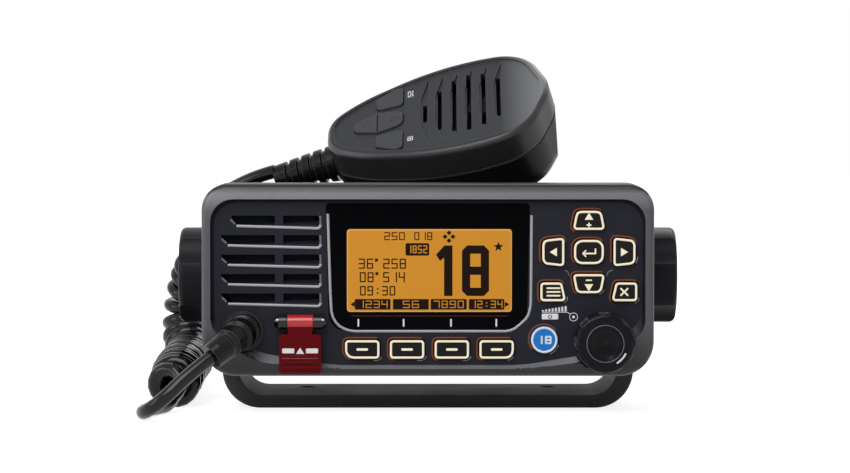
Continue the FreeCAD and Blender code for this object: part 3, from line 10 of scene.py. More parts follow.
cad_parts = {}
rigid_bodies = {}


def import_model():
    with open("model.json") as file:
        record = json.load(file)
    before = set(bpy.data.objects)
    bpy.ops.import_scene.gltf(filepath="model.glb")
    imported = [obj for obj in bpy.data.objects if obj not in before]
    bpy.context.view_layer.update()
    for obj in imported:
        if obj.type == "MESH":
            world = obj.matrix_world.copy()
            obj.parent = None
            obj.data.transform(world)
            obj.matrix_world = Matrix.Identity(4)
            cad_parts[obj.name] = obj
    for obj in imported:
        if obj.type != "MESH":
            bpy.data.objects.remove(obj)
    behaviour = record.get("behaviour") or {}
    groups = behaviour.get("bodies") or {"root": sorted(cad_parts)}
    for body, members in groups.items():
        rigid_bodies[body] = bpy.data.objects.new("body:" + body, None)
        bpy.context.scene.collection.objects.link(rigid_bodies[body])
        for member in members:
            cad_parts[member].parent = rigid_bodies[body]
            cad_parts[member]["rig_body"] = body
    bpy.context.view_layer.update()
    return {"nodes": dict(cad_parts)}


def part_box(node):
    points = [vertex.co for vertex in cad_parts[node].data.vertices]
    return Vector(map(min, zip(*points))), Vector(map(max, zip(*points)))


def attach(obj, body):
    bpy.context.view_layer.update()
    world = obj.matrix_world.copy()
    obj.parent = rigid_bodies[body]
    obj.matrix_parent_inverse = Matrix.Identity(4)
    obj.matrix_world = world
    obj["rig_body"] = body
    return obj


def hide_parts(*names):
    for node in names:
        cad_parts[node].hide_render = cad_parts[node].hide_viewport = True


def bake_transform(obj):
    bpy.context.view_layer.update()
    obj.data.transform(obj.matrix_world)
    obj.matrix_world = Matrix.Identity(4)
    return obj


bl_info = {
    "name": "Marine Radio Dresser",
    "version": (1, 0, 0),
    "blender": (4, 5, 0),
    "location": "View3D > Sidebar > Marine Radio",
    "description": "Finishes, display, key rings, grille, cord and stage of a fixed marine radio",
    "category": "Object",
}

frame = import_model()
NODES = frame["nodes"]

MM = 0.001

# Planes of the front, from the frame: y grows towards the back.
PANEL_LOW, PANEL_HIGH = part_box("front_panel")
PANEL_MIDDLE = (PANEL_LOW.z + PANEL_HIGH.z) / 2
FRONT_Y = PANEL_LOW.y
FLOOR_Y = FRONT_Y + 2.5 * MM
WINDOW_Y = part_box("display_window")[0].y
# How far a drawing floats in front of the face that it lies on.
SKIN = 0.03 * MM
# Where the microphone lies: its length, its width and the way that its face looks.
MIC_PLACE = Matrix(((0.963159, 0.001057, -0.268931, 0.006), (-0.147384, 0.838526, -0.524550, 0.012),
                    (0.224951, 0.544861, 0.807789, 0.09675), (0, 0, 0, 1)))
# The height of its face, and how far its keys stand out of it in millimetres.
MIC_FACE_Z = 10.3 * MM
MIC_KEY_PROUD = 0.92

KEYS_RINGED = ["key_up", "key_down", "key_left", "key_right", "key_enter", "key_menu", "key_clear",
               "key_16", "softkey_1", "softkey_2", "softkey_3", "softkey_4"]
MIC_KEYS = ["mic_key_16", "mic_key_high_low", "mic_key_up", "mic_key_down"]


def body_name(node):
    """The CAD body that a node rides on."""
    return NODES[node]["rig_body"]


# ---------------------------------------------------------------- settings


def length_setting(name, description, default):
    """A length that a user may change."""
    return bpy.props.FloatProperty(name=name, description=description, default=default, unit="LENGTH")


def power_setting(name, description, default):
    """A lamp's power that a user may change."""
    return bpy.props.FloatProperty(name=name, description=description, default=default, unit="POWER")


def colour_setting(name, description, default):
    """A colour that a user may change."""
    return bpy.props.FloatVectorProperty(name=name, description=description, default=default, size=3,
                                         subtype="COLOR")


class RadioCordSettings(bpy.types.PropertyGroup):
    """Sizes of the curly cord"""

    diameter: length_setting("Diameter", "Thickness of the lead", 0.005)
    helix: length_setting("Helix Radius", "From the coil's axis to the middle of the lead", 0.0069)
    pitch: length_setting("Pitch", "From one turn of the coil to the next", 0.0056)
    ramp: length_setting("Ramp", "Length over which the coil opens", 0.016)


class RadioFaceSettings(bpy.types.PropertyGroup):
    """Sizes of what is printed on the front, and of the painted glow and painted highlights beside the keys
    and slots
    """

    ring_width: length_setting("Ring Width", "Lit ring round each key", 0.00077)
    ring_height: length_setting("Ring Height", "How far a ring stands proud", 0.00022)
    # The warm line beside a key is a painted glow.
    halo_gap: length_setting("Halo Gap", "From a key's edge to the warm line beside it", 0.0009)
    halo_width: length_setting("Halo Width", "Width of the warm line", 0.00058)
    # The lip under each sound slot is a painted highlight.
    lip_highlight_width: length_setting("Lip Width", "Moulded lip under each sound slot", 0.00095)


class RadioColourSettings(bpy.types.PropertyGroup):
    """Colours that a user may want to change"""

    frame: colour_setting("Frame", "Moulded frame of the front", (0.062, 0.064, 0.071))
    recess: colour_setting("Recess", "Sunk face behind the keys", (0.0085, 0.0088, 0.0145))
    ring: colour_setting("Ring", "Lit rings and legends", (0.95, 0.86, 0.66))
    screen: colour_setting("Screen", "Backlight of the display", (0.66, 0.28, 0.03))
    ink: colour_setting("Ink", "Dark segments of the display", (0.012, 0.006, 0.004))


class RadioStageSettings(bpy.types.PropertyGroup):
    """Lamps and camera"""

    key_power: power_setting("Key Lamp", "Power of the large lamp above the front", 12.0)
    fill_power: power_setting("Fill Lamp", "Power of the lamp at the left", 3.5)
    rim_power: power_setting("Rim Lamp", "Power of the lamp behind", 4.0)
    lens: bpy.props.FloatProperty(
        name="Lens", description="Focal length of the camera in millimetres", default=135.1)


SETTINGS = {
    "radio_cord": RadioCordSettings,
    "radio_face": RadioFaceSettings,
    "radio_colours": RadioColourSettings,
    "radio_stage": RadioStageSettings,
}


# ---------------------------------------------------------------- meshes


def link(obj):
    """Puts an object in the scene."""
    bpy.context.scene.collection.objects.link(obj)
    return obj


def mesh_object(name, points, faces=(), edges=(), finish=None):
    """An object of a mesh made from points, in one finish given by name."""
    mesh = bpy.data.meshes.new(name)
    mesh.from_pydata([tuple(p) for p in points], [tuple(e) for e in edges], [tuple(f) for f in faces])
    mesh.update()
    if finish:
        mesh.materials.append(FINISHES[finish])
    return link(bpy.data.objects.new(name, mesh))


def outward(obj):
    """Merges doubled points and turns the faces outwards."""
    work = bmesh.new()
    work.from_mesh(obj.data)
    bmesh.ops.remove_doubles(work, verts=work.verts, dist=1e-7)
    bmesh.ops.recalc_face_normals(work, faces=work.faces)
    work.to_mesh(obj.data)
    work.free()
    return obj


def smooth(obj, angle=60):
    """Shades an object smooth, with edges sharper than the angle kept."""
    obj.data.shade_smooth()
    obj.data.set_sharp_from_angle(angle=math.radians(angle))
    return obj


def as_mesh(obj):
    """The object as a plain mesh object with its modifiers and place applied; the old object goes."""
    graph = bpy.context.evaluated_depsgraph_get()
    mesh = bpy.data.meshes.new_from_object(obj.evaluated_get(graph))
    mesh.transform(obj.matrix_world)
    name = obj.name
    bpy.data.objects.remove(obj)
    return link(bpy.data.objects.new(name, mesh))


def joined(name, parts):
    """One object of several, each keeping its own material."""
    materials = []
    work = bmesh.new()
    for part in parts:
        first = len(work.faces)
        for material in part.data.materials:
            if material not in materials:
                materials.append(material)
        places = [materials.index(m) for m in part.data.materials]
        work.from_mesh(part.data)
        work.faces.ensure_lookup_table()
        for face in work.faces[first:]:
            face.material_index = places[face.material_index] if places else 0
    mesh = bpy.data.meshes.new(name)
    work.to_mesh(mesh)
    work.free()
    for material in materials:
        mesh.materials.append(material)
    for part in parts:
        bpy.data.objects.remove(part)
    return link(bpy.data.objects.new(name, mesh))


def panel_place(y, u=0.0, v=0.0):
    """Flat drawings (u right, v up, height towards the user) stand on the plane y of the panel."""
    return Matrix.Translation((u, y, PANEL_MIDDLE + v)) @ Matrix.Rotation(math.radians(90), 4, "X")


def drawing_place(y, u=0.0, v=0.0):
    """The same place for drawings in millimetres."""
    return panel_place(y, u, v) @ Matrix.Scale(MM, 4)


def raised(name, outlines, height, finish, place):
    """A thin plate of flat outlines that meet edge to edge, from its plane to a height."""
    work = bmesh.new()
    for outline in outlines:
        work.faces.new([work.verts.new((p[0], p[1], 0.0)) for p in outline])
    bmesh.ops.remove_doubles(work, verts=work.verts, dist=1e-7)
    lifted = bmesh.ops.extrude_face_region(work, geom=list(work.faces))
    points = [g for g in lifted["geom"] if isinstance(g, bmesh.types.BMVert)]
    bmesh.ops.translate(work, verts=points, vec=(0, 0, height))
    bmesh.ops.recalc_face_normals(work, faces=work.faces)
    mesh = bpy.data.meshes.new(name)
    work.to_mesh(mesh)
    work.free()
    mesh.materials.append(FINISHES[finish])
    mesh.transform(place)
    return link(bpy.data.objects.new(name, mesh))


def slab(name, outline, height, finish, place):
    """A thin plate of one flat outline."""
    return raised(name, [outline], height, finish, place)


def arc_points(radius, angles, middle=(0.0, 0.0)):
    """Points on a circle at angles in degrees."""
    turns = [math.radians(angle) for angle in angles]
    return [(middle[0] + radius * math.cos(turn), middle[1] + radius * math.sin(turn)) for turn in turns]


def turned_at(points, turn, at):
    """Flat points turned about the origin by degrees, then moved to a place."""
    cos, sin = math.cos(math.radians(turn)), math.sin(math.radians(turn))
    return [(at[0] + x * cos - y * sin, at[1] + x * sin + y * cos) for x, y in points]


def rounded_box(width, height, radius, middle=(0.0, 0.0), steps=5):
    """The outline of a rectangle with round corners."""
    points = []
    for turn, (sx, sy) in enumerate([(1, 1), (-1, 1), (-1, -1), (1, -1)]):
        corner = (middle[0] + sx * (width / 2 - radius), middle[1] + sy * (height / 2 - radius))
        points += arc_points(radius, [90 * (turn + k / steps) for k in range(steps + 1)], corner)
    return points


# The bars of a segment numeral: a top, b and c right, d foot, e and f left, g middle.
SEGMENTS = {"0": "abcdef", "1": "bc", "2": "abged", "3": "abgcd", "4": "fgbc", "5": "afgcd", "6": "afgedc",
            "7": "abc", "8": "abcdefg", "9": "abcdfg"}
SEGMENT_CELLS = {"a": [(0, 4), (1, 4), (2, 4)], "g": [(0, 2), (1, 2), (2, 2)], "d": [(0, 0), (1, 0), (2, 0)],
                 "f": [(0, 2), (0, 3), (0, 4)], "b": [(2, 2), (2, 3), (2, 4)],
                 "e": [(0, 0), (0, 1), (0, 2)], "c": [(2, 0), (2, 1), (2, 2)]}
# The outer corners: the cell, the bars that meet there and the corner's place in the cell's outline.
OUTER_CORNERS = {(0, 0): ("de", 0), (2, 0): ("cd", 1), (2, 4): ("ab", 2), (0, 4): ("af", 3)}


def cut_corner(outline, at, trim):
    """The two points that take the place of a corner cut off an outline."""
    point, cuts = outline[at], []
    for other in (outline[at - 1], outline[(at + 1) % len(outline)]):
        share = trim / math.dist(point, other)
        cuts.append(tuple(p + (o - p) * share for p, o in zip(point, other)))
    return cuts


def numeral(sign, left, low, width, height, stroke, corner):
    """The outlines of one segment numeral, with the outer corners cut off by a share of the stroke."""
    if sign == "°":
        side, top = 2.4 * stroke, low + height
        return [[(left, top), (left, top - side), (left + side, top - side), (left + side, top)]]
    if sign == ":":
        dot = rounded_box(1.3 * stroke, 1.3 * stroke, 0.1 * stroke, (width / 2, 0))
        return [[(left + x, low + height * at + y) for x, y in dot] for at in (0.25, 0.7)]
    across = [0, stroke, width - stroke, width]
    bay = (height - 3 * stroke) / 2
    up = [0, stroke, stroke + bay, 2 * stroke + bay, 2 * (stroke + bay), height]
    outlines = []
    for column, row in sorted({cell for bar in SEGMENTS[sign] for cell in SEGMENT_CELLS[bar]}):
        x0, x1, y0, y1 = across[column], across[column + 1], up[row], up[row + 1]
        outline = [(x0, y0), (x1, y0), (x1, y1), (x0, y1)]
        meets, sharp = OUTER_CORNERS.get((column, row), ("", 0))
        if meets and all(bar in SEGMENTS[sign] for bar in meets):
            outline[sharp:sharp + 1] = cut_corner(outline, sharp, corner * stroke)
        outlines.append([(left + x, low + y) for x, y in outline])
    return outlines


def numerals(name, text, box, stroke, finish, place, height=0.03, gap=0.3, corner=0.5):
    """A row of segment numerals that fills a box given as its left, low, width and height."""
    left, low, wide, high = box
    cell = wide / (len(text) + gap * (len(text) - 1))
    outlines = []
    for k, sign in enumerate(text):
        outlines += numeral(sign, left + k * cell * (1 + gap), low, cell, high, stroke, corner)
    return raised(name, outlines, height, finish, place)


# ---------------------------------------------------------------- geometry nodes

# The node groups by name, and how many points a bead's round section has.
TREES = {}
SECTION_POINTS = 10


def set_inputs(tree, node, inputs):
    """Sets or links inputs of a node, each given by its name with _ for a space."""
    for name, value in inputs.items():
        socket = node.inputs[name.replace("_", " ")]
        if isinstance(value, bpy.types.NodeSocket):
            tree.links.new(value, socket)
        else:
            socket.default_value = value
    return node


def node_at(tree, kind, **inputs):
    """A new node of a tree with some of its inputs set or linked."""
    return set_inputs(tree, tree.nodes.new(kind), inputs)


def computed(tree, value, *steps):
    """A value after some sums, each given by its operation and its second number or socket."""
    for operation, second in steps:
        node = tree.nodes.new("ShaderNodeMath")
        node.operation = operation
        tree.links.new(value, node.inputs[0])
        if isinstance(second, bpy.types.NodeSocket):
            tree.links.new(second, node.inputs[1])
        elif second is not None:
            node.inputs[1].default_value = second
        value = node.outputs[0]
    return value


def bead_tree():
    """A bead that follows a drawn line: a rounded section swept along flat edges."""
    tree = bpy.data.node_groups.new("bead_on_line", "GeometryNodeTree")
    for label, kind in (("Geometry", "Geometry"), ("Width", "Float"), ("Height", "Float"),
                        ("Section Points", "Int"), ("Material", "Material")):
        tree.interface.new_socket(label, in_out="INPUT", socket_type="NodeSocket" + kind)
    tree.interface.new_socket("Geometry", in_out="OUTPUT", socket_type="NodeSocketGeometry")
    given = tree.nodes.new("NodeGroupInput").outputs
    line = node_at(tree, "GeometryNodeMeshToCurve", Mesh=given["Geometry"])
    upright = tree.nodes.new("GeometryNodeSetCurveNormal")
    upright.mode = "Z_UP"
    tree.links.new(line.outputs[0], upright.inputs[0])
    circle = node_at(tree, "GeometryNodeCurvePrimitiveCircle", Radius=1.0, Resolution=given["Section Points"])
    half = computed(tree, given["Width"], ("MULTIPLY", 0.5))
    scale = node_at(tree, "ShaderNodeCombineXYZ", X=half, Y=given["Height"], Z=1.0)
    section = node_at(tree, "GeometryNodeTransform", Geometry=circle.outputs[0], Scale=scale.outputs[0])
    swept = node_at(tree, "GeometryNodeCurveToMesh", Curve=upright.outputs[0],
                    Profile_Curve=section.outputs[0], Fill_Caps=True)
    shaded = node_at(tree, "GeometryNodeSetShadeSmooth", Geometry=swept.outputs[0])
    real = node_at(tree, "GeometryNodeRealizeInstances", Geometry=shaded.outputs[0])
    painted = node_at(tree, "GeometryNodeSetMaterial", Geometry=real.outputs[0], Material=given["Material"])
    node_at(tree, "NodeGroupOutput", Geometry=painted.outputs[0])
    return tree


def run_tree(obj, tree, **inputs):
    """The plain mesh that a tree makes of an object, with the inputs given by name."""
    modifier = obj.modifiers.new(tree.name, "NODES")
    modifier.node_group = tree
    for item in tree.interface.items_tree:
        key = item.name.replace(" ", "_")
        if item.in_out == "INPUT" and key in inputs:
            modifier[item.identifier] = inputs[key]
    bpy.context.view_layer.update()
    return as_mesh(obj)


def bead(name, lines, width, height, finish, place):
    """Beads along flat lines, each a list of (u, v) points and whether it closes."""
    points, edges = [], []
    for line, closed in lines:
        first = len(points)
        points += [(p[0], p[1], 0.0) for p in line]
        edges += [(first + k, first + k + 1) for k in range(len(line) - 1)]
        if closed:
            edges.append((first + len(line) - 1, first))
    drawn = mesh_object(name, points, edges=edges)
    made = run_tree(drawn, TREES["bead"], Width=width, Height=height, Section_Points=SECTION_POINTS,
                    Material=FINISHES[finish])
    made.data.transform(place)
    return outward(made)


# ---------------------------------------------------------------- outlines read from the frame


def front_outline(node):
    """The rim of a key's front face as (u, v) points in order round it."""
    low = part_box(node)[0].y
    rim = {(round(v.co.x, 6), round(v.co.z - PANEL_MIDDLE, 6))
           for v in NODES[node].data.vertices if v.co.y < low + 1e-5}
    middle = (sum(p[0] for p in rim) / len(rim), sum(p[1] for p in rim) / len(rim))
    return sorted(rim, key=lambda p: math.atan2(p[1] - middle[1], p[0] - middle[0]))


def grown(loop, distance):
    """A closed convex line moved outwards by a distance, its points in turning order."""
    made = []
    for k, point in enumerate(loop):
        before, after = loop[k - 1], loop[(k + 1) % len(loop)]
        along = Vector((after[0] - before[0], after[1] - before[1])).normalized()
        made.append((point[0] + along.y * distance, point[1] - along.x * distance))
    return made


def resampled(loop, count):
    """A closed line as evenly spaced points."""
    corners = [Vector(p) for p in loop] + [Vector(loop[0])]
    lengths = [(b - a).length for a, b in zip(corners, corners[1:])]
    total = sum(lengths)
    made, reached, k = [], 0.0, 0
    for n in range(count):
        wanted = total * n / count
        while reached + lengths[k] < wanted:
            reached += lengths[k]
            k += 1
        share = (wanted - reached) / lengths[k]
        made.append(tuple(corners[k].lerp(corners[k + 1], share)))
    return made


# ---------------------------------------------------------------- materials

FINISHES = {}
# The places of a Mix node's share, colours and result among its sockets.
MIX_SHARE, MIX_FIRST, MIX_SECOND, MIX_RESULT = 0, 6, 7, 2


def mixed_colour(tree, share, first, second):
    """The first colour passing into the second by a share; the second is a socket or a plain colour."""
    mix = tree.nodes.new("ShaderNodeMix")
    mix.data_type = "RGBA"
    tree.links.new(share, mix.inputs[MIX_SHARE])
    tree.links.new(first, mix.inputs[MIX_FIRST])
    if isinstance(second, bpy.types.NodeSocket):
        tree.links.new(second, mix.inputs[MIX_SECOND])
    else:
        mix.inputs[MIX_SECOND].default_value = (*second, 1)
    return mix.outputs[MIX_RESULT]


def object_axis(tree, axis):
    """The place on the object along one of its axes."""
    place = tree.nodes.new("ShaderNodeTexCoord")
    return node_at(tree, "ShaderNodeSeparateXYZ", Vector=place.outputs["Object"]).outputs[axis]


def placed_group(tree, group, **inputs):
    """A shader group placed in a material's tree."""
    node = tree.nodes.new("ShaderNodeGroup")
    node.node_tree = TREES[group]
    return set_inputs(tree, node, inputs)


def shader_group(name, inputs, outputs):
    """A shader node group with named sockets."""
    tree = bpy.data.node_groups.new(name, "ShaderNodeTree")
    for label, kind, default in inputs:
        socket = tree.interface.new_socket(label, in_out="INPUT", socket_type=kind)
        socket.default_value = default
    for label, kind in outputs:
        tree.interface.new_socket(label, in_out="OUTPUT", socket_type=kind)
    return tree, tree.nodes.new("NodeGroupInput"), tree.nodes.new("NodeGroupOutput")


def grain_group():
    """Moulded surface: a mottled colour, its roughness and a fine height, all from object coordinates."""
    tree, source, output = shader_group("moulded_grain", [
        ("Colour", "NodeSocketColor", (0.1, 0.1, 0.1, 1)),
        ("Second Colour", "NodeSocketColor", (0.12, 0.12, 0.12, 1)),
        ("Grain Scale", "NodeSocketFloat", 2500.0), ("Mottle Scale", "NodeSocketFloat", 60.0),
        ("Smooth", "NodeSocketFloat", 0.4), ("Rough", "NodeSocketFloat", 0.55)],
        [("Colour", "NodeSocketColor"), ("Roughness", "NodeSocketFloat"), ("Height", "NodeSocketFloat")])
    place = tree.nodes.new("ShaderNodeTexCoord").outputs["Object"]
    fine = node_at(tree, "ShaderNodeTexNoise", Vector=place, Scale=source.outputs["Grain Scale"],
                   Detail=3.0)
    broad = node_at(tree, "ShaderNodeTexNoise", Vector=place, Scale=source.outputs["Mottle Scale"],
                    Detail=4.0)
    colour = mixed_colour(tree, broad.outputs[0], source.outputs["Colour"], source.outputs["Second Colour"])
    spread = node_at(tree, "ShaderNodeMapRange", Value=broad.outputs[0], From_Min=0.3, From_Max=0.7,
                     To_Min=source.outputs["Smooth"], To_Max=source.outputs["Rough"])
    tree.links.new(colour, output.inputs["Colour"])
    tree.links.new(spread.outputs[0], output.inputs["Roughness"])
    tree.links.new(fine.outputs[0], output.inputs["Height"])
    return tree


def edge_group():
    """Rounded edges on sharp solids: a softened normal, and a mask that is 1 along the edges, where a painted
    highlight goes.
    """
    tree, source, output = shader_group("soft_edge", [("Radius", "NodeSocketFloat", 0.0003)],
                                        [("Normal", "NodeSocketVector"), ("Edge", "NodeSocketFloat")])
    soft = node_at(tree, "ShaderNodeBevel", Radius=source.outputs["Radius"])
    soft.samples = 4
    flat = tree.nodes.new("ShaderNodeNewGeometry")
    dot = tree.nodes.new("ShaderNodeVectorMath")
    dot.operation = "DOT_PRODUCT"
    tree.links.new(soft.outputs[0], dot.inputs[0])
    tree.links.new(flat.outputs["Normal"], dot.inputs[1])
    mask = node_at(tree, "ShaderNodeMapRange", Value=dot.outputs["Value"], From_Min=1.0, From_Max=0.9,
                   To_Min=0.0, To_Max=1.0)
    tree.links.new(soft.outputs[0], output.inputs["Normal"])
    tree.links.new(mask.outputs[0], output.inputs["Edge"])
    return tree


def add_finish(name, colour, smooth_at=0.4, rough_at=0.55, grain=2500, mottle=60, depth=0.02, edge=None,
           edge_width=0.3, gloss=0.5, second=None):
    """A finish with grain, mottle and softened edges painted lighter, a painted highlight; its depth and edge
    width in millimetres.
    """
    material = bpy.data.materials.new(name)
    material.use_nodes = True
    tree = material.node_tree
    shader = tree.nodes["Principled BSDF"]
    shader.inputs["Specular IOR Level"].default_value = gloss
    second = second or tuple(c * 1.18 for c in colour)
    # Unless an edge colour is given, the edges are painted lighter: a painted highlight.
    edge = edge or tuple(c * 1.8 for c in colour)
    grained = placed_group(tree, "grain", Colour=(*colour, 1), Second_Colour=(*second, 1), Grain_Scale=grain,
                           Mottle_Scale=mottle, Smooth=smooth_at, Rough=rough_at)
    edged = placed_group(tree, "edge", Radius=edge_width * MM)
    bump = node_at(tree, "ShaderNodeBump", Height=grained.outputs["Height"], Normal=edged.outputs["Normal"],
                   Strength=0.6, Distance=depth * MM)
    coloured = mixed_colour(tree, edged.outputs["Edge"], grained.outputs["Colour"], edge)
    tree.links.new(coloured, shader.inputs["Base Color"])
    tree.links.new(grained.outputs["Roughness"], shader.inputs["Roughness"])
    tree.links.new(bump.outputs[0], shader.inputs["Normal"])
    FINISHES[name] = material
    return material


def add_lit_finish(name, colour, glow, lit=0.6, rough=0.4, gloss=0.15, second=None):
    """Translucent plastic, print or a display: a part of its colour is lit from outside, a part glows; on the
    print, the glints, the warm lines, the red lid and the red key the glow is painted light.
    """
    base = tuple(c * lit for c in colour)
    second = tuple(c * lit for c in second) if second else tuple(c * 0.92 for c in base)
    tree = add_finish(name, base, rough, rough + 0.1, 900, 45, 0.004, base, 0.3, gloss, second).node_tree
    shader = tree.nodes["Principled BSDF"]
    grained = next(n for n in tree.nodes if n.type == "GROUP" and n.node_tree == TREES["grain"])
    tree.links.new(grained.outputs["Colour"], shader.inputs["Emission Color"])
    shader.inputs["Emission Strength"].default_value = glow / lit


def add_crown(name, middle, flat, bend):
    """Lets a flat front face shade as if it curved back above and below a level band."""
    tree = FINISHES[name].node_tree
    bump = next(n for n in tree.nodes if n.type == "BUMP")
    height = computed(tree, object_axis(tree, "Z"), ("SUBTRACT", middle), ("ABSOLUTE", None),
                      ("SUBTRACT", flat), ("MAXIMUM", 0.0), ("POWER", 2.0), ("MULTIPLY", -bend))
    crown = node_at(tree, "ShaderNodeBump", Height=height, Strength=1.0, Distance=1.0,
                    Normal=bump.inputs["Normal"].links[0].from_socket)
    tree.links.new(crown.outputs[0], bump.inputs["Normal"])


def add_fade(name, axis, start, end, colour, mirrored=False):
    """Lets a finish's colour pass into another one between two places along an axis of the object."""
    tree = FINISHES[name].node_tree
    base = tree.nodes["Principled BSDF"].inputs["Base Color"]
    place = object_axis(tree, axis)
    if mirrored:
        place = computed(tree, place, ("ABSOLUTE", None))
    share = node_at(tree, "ShaderNodeMapRange", Value=place, From_Min=start, From_Max=end)
    faded = mixed_colour(tree, share.outputs[0], base.links[0].from_socket, colour)
    tree.links.new(faded, base)


# A row is a name, a colour, the least and the most roughness, the scales of grain and mottle, the grain's
# depth, the colour of the edges' painted highlight and their width, the gloss and a second colour. A short row
# leaves the rest as usual.
PLAIN_FINISHES = [
    # The panel's outer walls and the faces that look up: a darker copy of the frame, painted shade.
    ("frame_side", (0.013, 0.0135, 0.0155), 0.42, 0.52, 3200, 90, 0.016, (0.05, 0.051, 0.055), 0.5, 0.2),
    # The slope below the keys: a paler copy of the frame, a painted highlight.
    ("frame_slope", (0.13, 0.133, 0.144), 0.36, 0.44, 3200, 90, 0.016, (0.18, 0.183, 0.195), 0.4, 0.3),
    ("window_gloss", (0.0012, 0.0013, 0.0018), 0.05, 0.08, 600, 20, 0.0005, (0.03, 0.03, 0.034), 0.3, 0.015),
    ("key_plastic", (0.0125, 0.012, 0.0115), 0.5, 0.62, 4000, 200, 0.012, (0.02, 0.019, 0.017), 0.3, 0.05),
    ("blue_plastic", (0.012, 0.17, 0.56), 0.35, 0.45, 2500, 150, 0.008, (0.1, 0.33, 0.7), 0.3, 0.15,
     (0.014, 0.19, 0.6)),
    # The knob's pale rims are a painted highlight.
    ("knob_plastic", (0.0018, 0.002, 0.003), 0.16, 0.24, 3000, 100, 0.004, (0.13, 0.135, 0.15), 0.5, 0.1),
    ("black_rubber", (0.0024, 0.0024, 0.0032), 0.2, 0.28, 2200, 70, 0.01, (0.07, 0.071, 0.078), 0.3, 0.18),
    ("grip_rubber", (0.006, 0.0063, 0.0085), 0.34, 0.44, 2200, 70, 0.012, (0.045, 0.047, 0.055), 0.5, 0.1),
    ("silicone", (0.02, 0.02, 0.022), 0.6, 0.75, 1500, 60, 0.01, None, 0.3, 0.2),
    ("cast_black", (0.012, 0.0125, 0.014), 0.42, 0.56, 1700, 50, 0.05, (0.04, 0.04, 0.045), 0.5, 0.3),
    # The bracket's wide, pale edges are a painted highlight along its front rounding.
    ("bracket_plastic", (0.08, 0.081, 0.086), 0.42, 0.5, 2400, 60, 0.02, (0.15, 0.151, 0.158), 2.0, 0.028),
    ("mic_face", (0.033, 0.0342, 0.0385), 0.4, 0.5, 3600, 80, 0.014, (0.09, 0.092, 0.1), 0.3, 0.07),
    # The microphone's shoulder: a paler copy of its skirt, a painted highlight.
    ("mic_shoulder", (0.06, 0.0615, 0.068), 0.3, 0.4, 3000, 60, 0.018, (0.07, 0.071, 0.078), 0.5, 0.3),
    ("mic_skirt", (0.021, 0.021, 0.0225), 0.3, 0.4, 3000, 60, 0.018, (0.05, 0.05, 0.055), 0.5, 0.3),
    ("mic_back", (0.0042, 0.0042, 0.0048), 0.3, 0.4, 2800, 60, 0.018, (0.03, 0.03, 0.034), 0.5, 0.16),
    ("mic_keys", (0.046, 0.0472, 0.0515), 0.44, 0.54, 3000, 100, 0.01, (0.09, 0.092, 0.1), 0.4, 0.07),
    # Light lines on the slots' lips and ends, the window's chamfer, two ridges, the knob's dish and the
    # microphone's seam: painted highlights.
    ("moulded_line", (0.3, 0.303, 0.32), 0.3, 0.4, 2500, 80, 0.006),
    ("dim_line", (0.085, 0.087, 0.1), 0.35, 0.45, 2500, 80, 0.006),
    ("seam_line", (0.13, 0.132, 0.142), 0.35, 0.45, 2500, 80, 0.006),
    # What shows through the microphone's slots is painted near black: painted shade.
    ("dark_inside", (0.0035, 0.0036, 0.004), 0.6, 0.7, 2500, 60, 0.02, None, 0.3, 0.08),
    ("hinge_gloss", (0.002, 0.002, 0.003), 0.07, 0.12, 1500, 60, 0.002, (0.01, 0.01, 0.012), 0.2, 0.35),
    ("circuit_board", (0.012, 0.085, 0.035), 0.3, 0.45, 900, 400, 0.01, None, 0.3, 0.5, (0.02, 0.14, 0.06)),
    ("component", (0.02, 0.02, 0.02)),
    ("mesh_cloth", (0.0035, 0.0042, 0.0065), 0.7, 0.85, 1400, 900, 0.05, None, 0.3, 0.08),
    ("ribbon", (0.55, 0.55, 0.52), 0.4, 0.5),
    ("cord_jacket", (0.0024, 0.0024, 0.0034), 0.12, 0.18, 1600, 120, 0.005, (0.0024, 0.0024, 0.0034), 0.3,
     0.26),
    ("floor_pale", (0.5, 0.5, 0.5), 0.7, 0.8, 40, 2, 0.0, (0.5, 0.5, 0.5), 0.3, 0.0, (0.51, 0.51, 0.51)),
]
# Metal rows read the same way; their paler edges are a painted highlight too.
METAL_FINISHES = [
    ("steel", (0.42, 0.42, 0.43), 0.22, 0.36, 1800, 90, 0.006, (0.7, 0.7, 0.7)),
    ("brass", (0.62, 0.42, 0.16), 0.22, 0.34, 1800, 90, 0.006, (0.85, 0.66, 0.33)),
    ("nickel", (0.5, 0.49, 0.46), 0.16, 0.28, 1800, 90, 0.005, (0.8, 0.79, 0.76)),
]
# A row is a name, a colour, its glow, the share lit from outside, roughness, gloss and a second colour.
LIT_FINISHES = [
    # White print, and the painted glints on the pin and the knob; its glow is painted light.
    ("white_print", (0.86, 0.87, 0.88), 0.2, 0.7),
    # A painted glow on the wall beside each key.
    ("halo_glow", (0.19, 0.05, 0.016), 0.45),
    ("screen_rim", (0.8, 0.42, 0.12), 0.4, 0.6, 0.35, 0.05),
    ("screen_line", (0.1, 0.014, 0.006), 0.3),
    # The lid's glow is painted light; its barrel is a brighter, glowing copy of the red, a painted highlight.
    ("cover_red", (0.14, 0.0025, 0.006), 0.12, 0.8, 0.16, 0.05, (0.1, 0.0015, 0.004)),
    ("cover_bright", (0.48, 0.006, 0.01), 0.25, 0.7, 0.1, 0.5),
    ("cover_pale", (0.5, 0.2, 0.2), 0.2, 0.6, 0.2),
    ("red_plastic", (0.5, 0.006, 0.01), 0.08, 0.6, 0.3),
]


